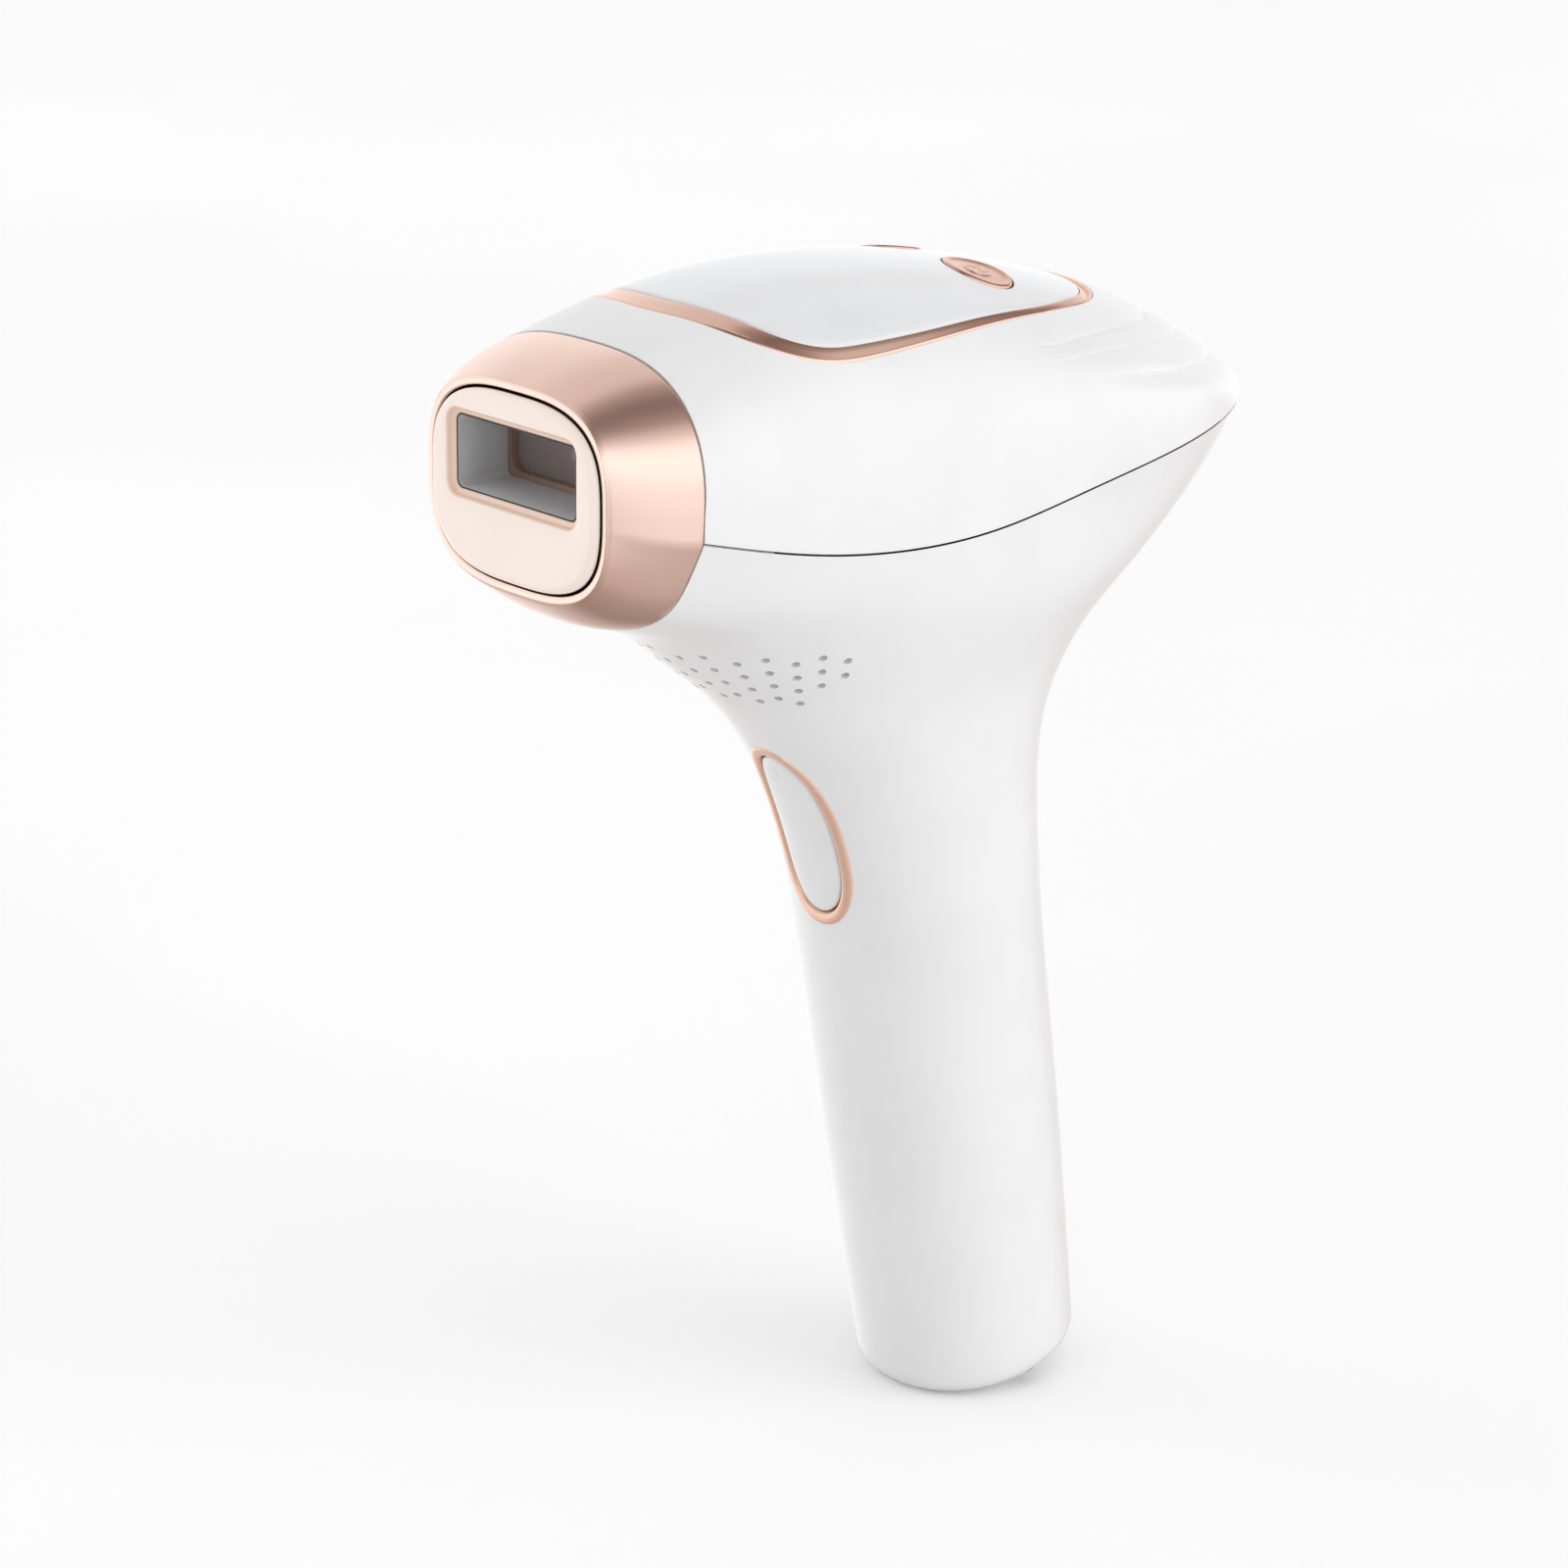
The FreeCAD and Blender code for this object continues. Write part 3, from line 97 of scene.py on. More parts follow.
def add_camera():
    data = bpy.data.cameras.new("camera")
    data.lens = LENS
    data.sensor_width = 36.0
    data.clip_start = 0.02
    camera = add_object("camera", data)
    flat = math.cos(ELEVATION)
    back = Vector((math.sin(AZIMUTH) * flat, -math.cos(AZIMUTH) * flat, math.sin(ELEVATION)))
    camera.location = AIM + back * DISTANCE
    turn = back.to_track_quat("Z", "Y").to_matrix().to_4x4()
    roll = turn @ camera.matrix_world.Rotation(ROLL, 4, "Z")
    camera.rotation_euler = roll.to_euler()
    bpy.context.scene.camera = camera


# Azimuth, elevation, power and spread of the lamps; azimuth 0 is ahead of the window, 90 on +X.
STUDIO_LAMPS = ((118, 12, 1.35, 60), (-62, 8, 0.60, 60), (40, 82, 0.32, 80))


def add_lamp(azimuth, elevation, power, spread):
    """Broad soft light from far away."""
    data = bpy.data.lights.new("lamp", "SUN")
    data.energy = power
    data.angle = math.radians(spread)
    light = add_object("lamp", data)
    a = math.radians(azimuth)
    e = math.radians(elevation)
    way = Vector((math.sin(a) * math.cos(e), -math.cos(a) * math.cos(e), math.sin(e)))
    light.rotation_euler = way.to_track_quat("Z", "Y").to_euler()
    light.visible_glossy = False


# Brightness of the studio as a mirror sees it, in degrees round the Y axis from +X towards +Z.
STUDIO = ((-180, 1.10), (-155, 1.42), (-134, 0.62), (-115, 0.36), (-90, 0.44), (-60, 0.62),
          (-26, 0.84), (-20, 0.98), (0, 1.12), (16, 1.42), (32, 1.36), (46, 0.78), (60, 0.34),
          (80, 0.22), (95, 0.38), (110, 0.76), (128, 0.78), (155, 1.05), (180, 1.10))
# How much green and blue the dark parts of the studio lose.
WARM = (0.0, 0.27, 0.38)
SKY_LEVEL = 0.735
# Brightness of the sky where the camera looks past the floor's edge.
BACKDROP = 0.95


def add_world():
    """Even white light for matt surfaces and soft bands for glossy ones."""
    world = bpy.data.worlds.new("studio")
    bpy.context.scene.world = world
    world.use_nodes = True
    add, link = node_tools(world.node_tree)
    place = add("TexCoord")
    split = add("SeparateXYZ")
    side = add("CombineXYZ")
    turn = add("TexGradient")
    turn.gradient_type = "RADIAL"
    bands = add("ValToRGB")
    bands.color_ramp.interpolation = "EASE"
    for _ in range(len(STUDIO) - 2):
        bands.color_ramp.elements.new(0.5)
    for element, (degrees, value) in zip(bands.color_ramp.elements, STUDIO):
        element.position = (degrees + 180) / 360
        element.color = (*(value * (1 - loss * max(0.0, 1 - value)) for loss in WARM), 1)
    path = add("LightPath")
    choice = add("Mix")
    choice.data_type = "RGBA"
    choice.inputs[6].default_value = (SKY_LEVEL, SKY_LEVEL, SKY_LEVEL * 1.01, 1)
    seen = add("Mix")
    seen.data_type = "RGBA"
    seen.inputs[7].default_value = (BACKDROP, BACKDROP, BACKDROP, 1)
    link(place.outputs["Generated"], split.inputs[0])
    link(split.outputs["X"], side.inputs["X"])
    link(split.outputs["Z"], side.inputs["Y"])
    link(side.outputs[0], turn.inputs[0])
    link(turn.outputs["Fac"], bands.inputs["Fac"])
    link(bands.outputs["Color"], choice.inputs[7])
    link(path.outputs["Is Glossy Ray"], choice.inputs[0])
    link(choice.outputs[2], seen.inputs[6])
    link(path.outputs["Is Camera Ray"], seen.inputs[0])
    link(seen.outputs[2], world.node_tree.nodes["Background"].inputs["Color"])


def add_floor(level):
    mesh = bpy.data.meshes.new("floor")
    half = FLOOR_SIDE / 2
    corners = [(-half, -half, level), (half, -half, level), (half, half, level), (-half, half, level)]
    mesh.from_pydata(corners, [], [(0, 1, 2, 3)])
    floor = add_object("floor", mesh)
    material = surface("floor_paint", (0.93, 0.93, 0.93), (0.97, 0.97, 0.97), 0.75, 0.8, grain=3.0)
    shader = material.node_tree.nodes["Principled BSDF"]
    shader.inputs["Emission Color"].default_value = (1, 1, 1, 1)
    shader.inputs["Emission Strength"].default_value = FLOOR_GLOW
    mesh.materials.append(material)
    floor.visible_glossy = False


# ---------------------------------------------------------------- materials

RELIEF_DEPTH = 0.0002
COAT_ROUGHNESS = 0.12


def surface(name, dark, light, rough_low, rough_high, grain=400.0, bump=0.02, metal=0.0, coat=0.0,
            streak=None, glass=0.0, fine=3000.0, sheen=0.0):
    """Procedural finish: mottled colour, uneven roughness and a fine surface relief.

    grain and fine are cells per metre of the mottling and of the relief; streak stretches both.
    """
    material = bpy.data.materials.new(name)
    material.use_nodes = True
    add, link = node_tools(material.node_tree)
    shader = material.node_tree.nodes["Principled BSDF"]
    place = add("TexCoord")
    stretch = add("Mapping")
    stretch.inputs["Scale"].default_value = streak or (1, 1, 1)
    link(place.outputs["Object"], stretch.inputs["Vector"])
    mottle = add("TexNoise")
    mottle.inputs["Scale"].default_value = grain
    mottle.inputs["Detail"].default_value = 3.0
    link(stretch.outputs["Vector"], mottle.inputs["Vector"])
    tint = add("ValToRGB")
    tint.color_ramp.elements[0].position = 0.3
    tint.color_ramp.elements[0].color = (*dark, 1)
    tint.color_ramp.elements[1].position = 0.7
    tint.color_ramp.elements[1].color = (*light, 1)
    link(mottle.outputs["Fac"], tint.inputs["Fac"])
    link(tint.outputs["Color"], shader.inputs["Base Color"])
    relief = add("TexNoise")
    relief.inputs["Scale"].default_value = fine
    relief.inputs["Detail"].default_value = 2.0
    link(stretch.outputs["Vector"], relief.inputs["Vector"])
    gloss = add("MapRange")
    gloss.inputs["To Min"].default_value = rough_low
    gloss.inputs["To Max"].default_value = rough_high
    link(relief.outputs["Fac"], gloss.inputs["Value"])
    link(gloss.outputs["Result"], shader.inputs["Roughness"])
    dent = add("Bump")
    dent.inputs["Strength"].default_value = bump
    dent.inputs["Distance"].default_value = RELIEF_DEPTH
    link(relief.outputs["Fac"], dent.inputs["Height"])
    link(dent.outputs["Normal"], shader.inputs["Normal"])
    for socket, value in (("Metallic", metal), ("Coat Weight", coat), ("Sheen Weight", sheen),
                          ("Transmission Weight", glass), ("Coat Roughness", COAT_ROUGHNESS)):
        shader.inputs[socket].default_value = value
    return material


# Dark and light colour, lowest and highest roughness, then what else surface() takes.
FINISHES = {
    "white_shell": ((0.77, 0.77, 0.77), (0.8, 0.8, 0.8), 0.3, 0.38,
                    dict(grain=60, bump=0.012, coat=0.25, fine=2600)),
    "white_key": ((0.76, 0.76, 0.765), (0.79, 0.79, 0.795), 0.32, 0.4,
                  dict(grain=80, bump=0.012, coat=0.2, fine=2600)),
    "panel_white": ((0.73, 0.74, 0.75), (0.76, 0.77, 0.78), 0.16, 0.22,
                    dict(grain=60, bump=0.006, coat=0.5, fine=2000)),
    "rose_gold": ((0.91, 0.67, 0.58), (0.93, 0.7, 0.61), 0.22, 0.27,
                  dict(grain=60, bump=0.004, metal=1.0, fine=3200)),
    "rose_trim": ((0.84, 0.58, 0.48), (0.87, 0.61, 0.51), 0.18, 0.24,
                  dict(grain=90, bump=0.004, metal=1.0, fine=3200)),
    "rose_ring": ((0.84, 0.54, 0.41), (0.88, 0.58, 0.45), 0.18, 0.24,
                  dict(grain=90, bump=0.004, metal=0.45, fine=3200)),
    "rose_button": ((0.7, 0.42, 0.33), (0.78, 0.5, 0.4), 0.18, 0.24,
                    dict(grain=90, bump=0.004, metal=1.0, fine=3200)),
    "face_peach": ((0.97, 0.83, 0.74), (0.98, 0.86, 0.77), 0.3, 0.36,
                   dict(grain=60, bump=0.004, coat=0.3, fine=3200)),
    # face_edge is a darker orange painted on the window recess's border as shade.
    "face_edge": ((0.93, 0.67, 0.53), (0.94, 0.7, 0.56), 0.3, 0.36,
                  dict(grain=60, bump=0.004, coat=0.3, fine=3200)),
    "tunnel_grey": ((0.53, 0.535, 0.54), (0.57, 0.575, 0.58), 0.34, 0.46,
                    dict(grain=300, bump=0.03, fine=4200)),
    "copper_frame": ((0.36, 0.23, 0.18), (0.42, 0.28, 0.22), 0.3, 0.42,
                     dict(grain=300, bump=0.02, metal=0.35, fine=4200)),
    "filter_glass": ((0.42, 0.35, 0.33), (0.46, 0.38, 0.36), 0.03, 0.06,
                     dict(grain=40, bump=0.002, glass=0.45, fine=800)),
    "quartz": ((0.9, 0.91, 0.94), (0.95, 0.96, 0.98), 0.02, 0.05,
               dict(grain=60, bump=0.002, glass=0.9, fine=900)),
    "electrode": ((0.55, 0.55, 0.56), (0.68, 0.68, 0.69), 0.2, 0.35, dict(grain=600, metal=1.0)),
    "mirror_sheet": ((0.8, 0.8, 0.81), (0.88, 0.88, 0.89), 0.06, 0.14,
                     dict(grain=200, bump=0.01, metal=1.0)),
    "lamp_holder": ((0.66, 0.65, 0.61), (0.74, 0.73, 0.69), 0.5, 0.65, dict(grain=500, bump=0.06)),
    "sink_alloy": ((0.5, 0.51, 0.53), (0.62, 0.63, 0.65), 0.28, 0.45,
                   dict(grain=500, metal=1.0, streak=(1, 1, 0.05))),
    "fan_black": ((0.018, 0.018, 0.02), (0.035, 0.035, 0.037), 0.45, 0.6, dict(grain=700, bump=0.06)),
    "chassis_grey": ((0.09, 0.095, 0.1), (0.13, 0.135, 0.14), 0.5, 0.65, dict(grain=600, bump=0.08)),
    "board_green": ((0.01, 0.07, 0.03), (0.02, 0.11, 0.05), 0.25, 0.4,
                    dict(grain=900, bump=0.05, coat=0.3, streak=(1, 0.2, 1))),
    "ferrite": ((0.015, 0.015, 0.017), (0.04, 0.04, 0.043), 0.55, 0.75, dict(grain=1200, bump=0.15)),
    "winding": ((0.42, 0.15, 0.05), (0.62, 0.26, 0.1), 0.22, 0.35,
                dict(grain=2400, bump=0.3, metal=0.9, streak=(0.05, 1, 1))),
    # component_black also paints the walls of the body's gaps and the tunnel's rim black, as painted
    # shade.
    "component_black": ((0.012, 0.012, 0.014), (0.03, 0.03, 0.032), 0.4, 0.55,
                        dict(grain=900, bump=0.05)),
    "cell_sleeve": ((0.012, 0.02, 0.06), (0.02, 0.035, 0.09), 0.22, 0.34,
                    dict(grain=300, bump=0.04, streak=(1, 1, 0.3))),
    "tin": ((0.58, 0.58, 0.57), (0.7, 0.7, 0.69), 0.25, 0.4, dict(grain=900, metal=1.0)),
    "steel": ((0.4, 0.4, 0.42), (0.52, 0.52, 0.54), 0.25, 0.42, dict(grain=900, metal=1.0)),
    "spring_steel": ((0.32, 0.32, 0.34), (0.45, 0.45, 0.47), 0.25, 0.4, dict(grain=1500, metal=1.0)),
    "lead_jacket": ((0.28, 0.012, 0.012), (0.36, 0.02, 0.02), 0.4, 0.55,
                    dict(grain=600, bump=0.04, sheen=0.2)),
    "socket_black": ((0.012, 0.012, 0.014), (0.025, 0.025, 0.027), 0.35, 0.5,
                     dict(grain=900, bump=0.05)),
}

finish_of = {}


def finish(slot):
    if slot not in finish_of:
        *basics, extras = FINISHES[slot]
        finish_of[slot] = surface(slot, *basics, **extras)
    return finish_of[slot]


def paint_cad_nodes():
    for part in frame["record"]["subparts"]:
        slots = frame["nodes"][part["node"]].data.materials
        for i in range(max(1, len(slots))):
            if i < len(slots):
                slots[i] = finish(part["material_slot"])
            else:
                slots.append(finish(part["material_slot"]))


# ---------------------------------------------------------------- curves of the body

# Side profile of housing and handle: level up the body, front edge, rear edge, half width.
STATIONS = ((-56, -7.9, 27.9, 17.5), (-3, -18.9, 20.7, 18.6), (33, -26.1, 15.3, 19.7),
            (48, -31.0, 14.6, 20.1), (60, -37.7, 15.6, 21.2), (70, -47.0, 20.4, 23.0),
            (78, -57.2, 27.2, 26.1), (86, -69.6, 37.6, 29.4), (93, -90.3, 48.0, 30.8),
            (100, -105.7, 55.9, 31.7), (112, -115.4, 62.4, 35.9))
SEAM = ((-76, 106.3), (-56, 101.6), (-36, 99.3), (-20, 99.5), (0, 101.9), (20, 103.6),
        (40, 104.8), (60, 106.4))
RIDGE = ((-74.5, 131.2), (-60, 135.2), (-45, 137.5), (-25, 137.4), (-5, 134.8), (15, 130.0),
         (35, 122.7), (50, 114.4), (57, 110.0))
LEAN = math.radians(9.8)
ROUND = 2.1
FADE = 70.0
FOOT_LEVEL = -55.5
FOOT_ROUND = 4.0
WALL = 2.2
TAIL_ROUND = 9.0
BODY_FRONT = -76.1
BODY_TILT = 0.07
NOSE_HEIGHT = 109.0


def spline(knots):
    """Natural cubic through (t, value) pairs, straight beyond its ends, for arrays."""
    t, v = (np.array(column, float) for column in zip(*knots))
    step = np.diff(t)
    slope = np.diff(v) / step
    n = len(t)
    system = np.eye(n)
    right = np.zeros(n)
    for i in range(1, n - 1):
        system[i, i - 1:i + 2] = step[i - 1], 2 * (step[i - 1] + step[i]), step[i]
        right[i] = 6 * (slope[i] - slope[i - 1])
    bend = np.linalg.solve(system, right)
    first = slope[0] - step[0] * bend[1] / 6
    last = slope[-1] + step[-1] * bend[-2] / 6

    def at(x):
        x = np.asarray(x, float)
        i = np.clip(np.searchsorted(t, x, side="right") - 1, 0, n - 2)
        a = (t[i + 1] - x) / step[i]
        b = 1 - a
        curve = ((a ** 3 - a) * bend[i] + (b ** 3 - b) * bend[i + 1]) * step[i] ** 2 / 6
        inside = a * v[i] + b * v[i + 1] + curve
        inside = np.where(x < t[0], v[0] + (x - t[0]) * first, inside)
        return np.where(x > t[-1], v[-1] + (x - t[-1]) * last, inside)

    return at


front_of = spline([(s[0], s[1]) for s in STATIONS])
rear_of = spline([(s[0], s[2]) for s in STATIONS])
half_of = spline([(s[0], s[3]) for s in STATIONS])
seam_of = spline(SEAM)
ridge_of = spline(RIDGE)


HALVINGS = 40


def solve(test, low, high):
    """Where test turns from true at low to false at high, for arrays."""
    low = np.array(low, float)
    high = np.array(high, float)
    for _ in range(HALVINGS):
        middle = (low + high) / 2
        yes = test(middle)
        low = np.where(yes, middle, low)
        high = np.where(yes, high, middle)
    return low


def oval(angle, power):
    """Unit superellipse."""
    c = np.cos(angle)
    s = np.sin(angle)
    r = (np.abs(c) ** power + np.abs(s) ** power) ** (-1 / power)
    return c * r, s * r


def on_body(level, angle, shrink=0.0):
    """Point of the housing's skin at a level and an angle round it."""
    f = front_of(level) + shrink
    b = rear_of(level) - shrink
    w = half_of(level) - shrink
    along, across = oval(angle, ROUND)
    middle = (f + b) / 2
    y = middle + along * (b - f) / 2
    tilt = math.tan(LEAN) * np.clip((FADE - level) / FADE, 0, 1)
    return np.stack(np.broadcast_arrays(across * w, y, level + tilt * (y - middle)), -1)


def half_width(y, z):
    f = front_of(z)
    b = rear_of(z)
    t = np.minimum(np.abs((y - (f + b) / 2) / ((b - f) / 2)), 1)
    return half_of(z) * (1 - t ** ROUND) ** (1 / ROUND)


TAIL = float(solve(lambda y: rear_of(seam_of(y)) > y, 40, 80))


def crown(y):
    """Height of the cover's ridge above the parting line."""
    past = np.clip((y - (TAIL - TAIL_ROUND)) / TAIL_ROUND, 0, 1)
    return (ridge_of(y) - seam_of(y)) * np.sqrt(1 - past ** 2)


def power_at(y):
    return 2.8 - 0.5 * np.clip((y + 76) / 76, 0, 1)


def top_height(x, y):
    """Height of the cover's skin above (x, y)."""
    w = np.maximum(half_width(y, seam_of(y)), 1e-6)
    p = power_at(y)
    rise = np.maximum(1 - np.minimum(np.abs(x) / w, 1) ** p, 0) ** (1 / p)
    return seam_of(y) + crown(y) * rise


def nose_plane(z):
    """Where the plane between bezel and body lies along Y at a height."""
    return BODY_FRONT + BODY_TILT * (z - NOSE_HEIGHT)


# ---------------------------------------------------------------- mesh helpers

SAME_POINT = 2e-6
SHARP_ANGLE = math.radians(38)


def closed_mesh(name, points, faces, merge):
    """Mesh in metres with its faces turned outwards; merge joins corners that coincide."""
    mesh = bpy.data.meshes.new(name)
    mesh.from_pydata([tuple(p) for p in np.asarray(points, float) * MM], [], faces)
    work = bmesh.new()
    work.from_mesh(mesh)
    if merge:
        bmesh.ops.remove_doubles(work, verts=work.verts, dist=SAME_POINT)
    bmesh.ops.recalc_face_normals(work, faces=work.faces)
    work.to_mesh(mesh)
    work.free()
    return mesh


def new_piece(name, points, faces, slot, finish_name=None):
    """Visible piece with the finish of slot, or of finish_name where that is given."""
    mesh = closed_mesh(name, points, faces, True)
    mesh.materials.append(finish(finish_name or slot))
    piece = add_object(name, mesh)
    smooth(mesh)
    return piece


def smooth(mesh):
    mesh.polygons.foreach_set("use_smooth", [True] * len(mesh.polygons))
    mesh.set_sharp_from_angle(angle=SHARP_ANGLE)


def paint_shade_where(piece, finish_name, test):
    """Second finish on the faces whose middle, in millimetres, and normal pass the test; used here only
    to paint shade into gaps, recesses and rims.
    """
    piece.data.materials.append(finish(finish_name))
    index = len(piece.data.materials) - 1
    for face in piece.data.polygons:
        if test(face.center / MM, face.normal):
            face.material_index = index


def net(rows, wrap_rows):
    """Points and faces of a net of closed rows of equal length."""
    rows = np.asarray(rows, float)
    count, n = rows.shape[:2]
    faces = []
    for i in range(count if wrap_rows else count - 1):
        a = i * n
        b = (i + 1) % count * n
        for j in range(n):
            k = (j + 1) % n
            faces.append((a + j, a + k, b + k, b + j))
    return rows.reshape(-1, 3), faces


def hoop(name, rows, slot, finish_name=None):
    """Closed ring-shaped piece: the last row meets the first."""
    return new_piece(name, *net(rows, True), slot, finish_name)


def cap(name, rows, slot, finish_name=None):
    """Closed piece whose first and last rows have no area."""
    return new_piece(name, *net(rows, False), slot, finish_name)


def unit(v):
    return v / np.maximum(np.linalg.norm(v, axis=-1, keepdims=True), 1e-12)


def row_normals(rows, outward):
    """Normals of a net of rows, on the side that the point outward tells."""
    across = np.roll(rows, -1, 1) - np.roll(rows, 1, 1)
    along = np.gradient(rows, axis=0)
    normal = unit(np.cross(across, along))
    if np.mean(np.sum(normal * (rows - outward), -1)) < 0:
        normal = -normal
    return normal


RIM_TURNS = tuple(math.radians(t) for t in (0, 30, 60, 90))
# The inner skin of a shell follows every third row of the outer one.
INNER_STEP = 3


def rim(rows, normals, end, radius, wall):
    """Rows that round off a border and carry it inwards by the wall. end is 0 or -1."""
    edge = rows[end]
    step = edge - rows[1 if end == 0 else -2]
    along = np.roll(edge, -1, 0) - np.roll(edge, 1, 0)
    n = normals[end]
    out = unit(np.cross(along, n))
    if np.sum(out * step) < 0:
        out = -out
    made = []
    for a in RIM_TURNS:
        made.append(edge - out * radius * (1 - math.sin(a)) - n * radius * (1 - math.cos(a)))
    made.append(edge - n * wall)
    return made


def shell(name, rows, normals, wall, radius, slot):
    """Closed shell of an open net: outer rows, rounded borders and an inner skin."""
    first = rim(rows, normals, 0, radius, wall)
    last = rim(rows, normals, -1, radius, wall)
    inner = [rows[i] - normals[i] * wall for i in range(len(rows) - 4, 3, -INNER_STEP)]
    loop = first[::-1] + list(rows[1:-1]) + last + inner
    return hoop(name, loop, slot)


def reference(rows):
    """Search tree and smooth normals of an open net, for ray casts and shading."""
    points, faces = net(rows, False)
    mesh = bpy.data.meshes.new("reference")
    mesh.from_pydata([tuple(p) for p in points], [], faces)
    normals = np.empty(len(points) * 3)
    mesh.vertices.foreach_get("normal", normals)
    tree = BVHTree.FromPolygons([Vector(p) for p in points], faces)
    bpy.data.meshes.remove(mesh)
    return tree, [Vector(p) for p in points], faces, [Vector(n) for n in normals.reshape(-1, 3)]


def normal_near(ref, point):
    tree, points, faces, normals = ref
    spot, _, index, gap = tree.find_nearest(point)
    if spot is None:
        return None, 1e9
    face = faces[index]
    weights = poly_3d_calc([points[i] for i in face], spot)
    mixed = Vector((0, 0, 0))
    for w, i in zip(weights, face):
        mixed += normals[i] * w
    return mixed.normalized(), gap


def keep_skin_smooth(piece, ref):
    """Give the corners that lie on the reference skin that skin's own normals."""
    mesh = piece.data
    smooth(mesh)
    corners = [c.vector.copy() for c in mesh.corner_normals]
    known = {}
    for face in mesh.polygons:
        for loop in face.loop_indices:
            vertex = mesh.loops[loop].vertex_index
            if vertex not in known:
                known[vertex] = normal_near(ref, mesh.vertices[vertex].co / MM)
            normal, gap = known[vertex]
            if normal is None or gap > 0.02:
                continue
            side = normal.dot(face.normal)
            if abs(side) > 0.75:
                corners[loop] = normal if side > 0 else -normal
    mesh.normals_split_custom_set(corners)


def cut(piece, *cutters):
    """Boolean cuts, applied; the cutters are removed."""
    for cutter in cutters:
        modifier = piece.modifiers.new("cut", "BOOLEAN")
        modifier.operation = "DIFFERENCE"
        modifier.solver = "EXACT"
        modifier.object = cutter
    bpy.context.view_layer.update()
    graph = bpy.context.evaluated_depsgraph_get()
    mesh = bpy.data.meshes.new_from_object(piece.evaluated_get(graph))
    piece.modifiers.clear()
    piece.data = mesh
    for cutter in cutters:
        bpy.data.objects.remove(cutter)


def cutter(points, faces):
    return add_object("cutter", closed_mesh("cutter", points, faces, False))


def rods(ends, radius, sides):
    """Cutter made of round rods, each given by its two ends."""
    points = []
    faces = []
    for start, end in ends:
        way = unit(end - start)
        side = unit(np.cross(way, (0.3, 0.2, 0.9)))
        up = np.cross(way, side)
        base = len(points)
        for spot in (start, end):
            for i in range(sides):
                a = 2 * math.pi * i / sides
                points.append(spot + radius * (math.cos(a) * side + math.sin(a) * up))
        faces += [(base + i, base + (i + 1) % sides, base + sides + (i + 1) % sides, base + sides + i)
                  for i in range(sides)]
        faces.append(tuple(base + i for i in range(sides)))
        faces.append(tuple(base + sides + i for i in range(sides)))
    return cutter(points, faces)


def smooth_loop(half, count):
    """Closed even curve through a half outline and its mirror image, as (x, y) rows."""
    left = [(-x, y) for x, y in reversed(half[1:-1])]
    knots = np.array(list(half) + left, float)
    closed = np.vstack([knots, knots[:1]])
    t = np.concatenate([[0], np.cumsum(np.linalg.norm(np.diff(closed, axis=0), axis=1))])
    n = len(knots)
    step = np.diff(t)
    system = np.zeros((n, n))
    right_side = np.zeros((n, 2))
    for i in range(n):
        before = step[i - 1]
        after = step[i]
        system[i, i - 1] += before
        system[i, i] += 2 * (before + after)
        system[i, (i + 1) % n] += after
        right_side[i] = 6 * ((closed[i + 1] - knots[i]) / after - (knots[i] - knots[i - 1]) / before)
    bend = np.linalg.solve(system, right_side)
    bend = np.vstack([bend, bend[:1]])
    fine = np.linspace(0, t[-1], 20 * n + 1)
    i = np.clip(np.searchsorted(t, fine, side="right") - 1, 0, n - 1)
    a = ((t[i + 1] - fine) / step[i])[:, None]
    b = 1 - a
    h = step[i][:, None]
    curve = a * closed[i] + b * closed[i + 1]
    curve += ((a ** 3 - a) * bend[i] + (b ** 3 - b) * bend[i + 1]) * h ** 2 / 6
    length = np.concatenate([[0], np.cumsum(np.linalg.norm(np.diff(curve, axis=0), axis=1))])
    even = np.linspace(0, length[-1], count, endpoint=False)
    return np.stack([np.interp(even, length, curve[:, k]) for k in (0, 1)], -1)


def inset_loop(loop, depth):
    """Move a closed loop inwards in its plane."""
    along = np.roll(loop, -1, 0) - np.roll(loop, 1, 0)
    normal = unit(np.stack([-along[:, 1], along[:, 0]], -1))
    area = np.sum(loop[:, 0] * np.roll(loop[:, 1], -1) - np.roll(loop[:, 0], -1) * loop[:, 1])
    return loop + normal * depth * (1 if area > 0 else -1)


# ---------------------------------------------------------------- outlines on the top

TRIM_OUTER = ((0, -64.0), (8, -63.3), (15.5, -61.0), (21, -56.2), (23.9, -49), (24.6, -40),
              (24.1, -29), (22.2, -12), (19.6, 3), (16.8, 12.5), (12.5, 19), (6.5, 21.8), (0, 22.5))
TRIM_INNER = ((0, -59.6), (7, -59.1), (13.7, -57.4), (18.6, -54.4), (21.6, -49.5), (22.8, -41),
              (22.5, -28.5), (20.7, -12), (18.2, 2.5), (15.4, 11.2), (11.2, 17.2), (5.8, 19.4),
              (0, 20.0))
# Edges of the three overlapping layers on the tail, from the middle line round to their ends.
LAYERS = (
    ((0, 36), (12, 31.4), (14.5, 28.9), (16.7, 26), (18.4, 22.4), (20.1, 17.8), (21.3, 13.2),
     (22.6, 7.8), (24.6, -6.3)),
    ((0, 43), (13.6, 37.4), (17.7, 31.7), (19.7, 27.5), (21.8, 21), (23.2, 15.4), (25.1, 5.3),
     (26.1, -3.8)),
    ((0, 52), (13.5, 45.5), (18.4, 39.1), (21.1, 33.8), (23.1, 28.3), (24.6, 22.5), (26, 14.7),
     (27.1, 3.3)),
)
LAYER_DROP = 0.78
FAN_CENTRE = np.array([0.0, -15.0])


def polar(loop):
    """Angle round FAN_CENTRE, from the tail towards +X, and distance."""
    d = np.asarray(loop, float) - FAN_CENTRE
    return np.arctan2(d[:, 0], d[:, 1]), np.hypot(d[:, 0], d[:, 1])


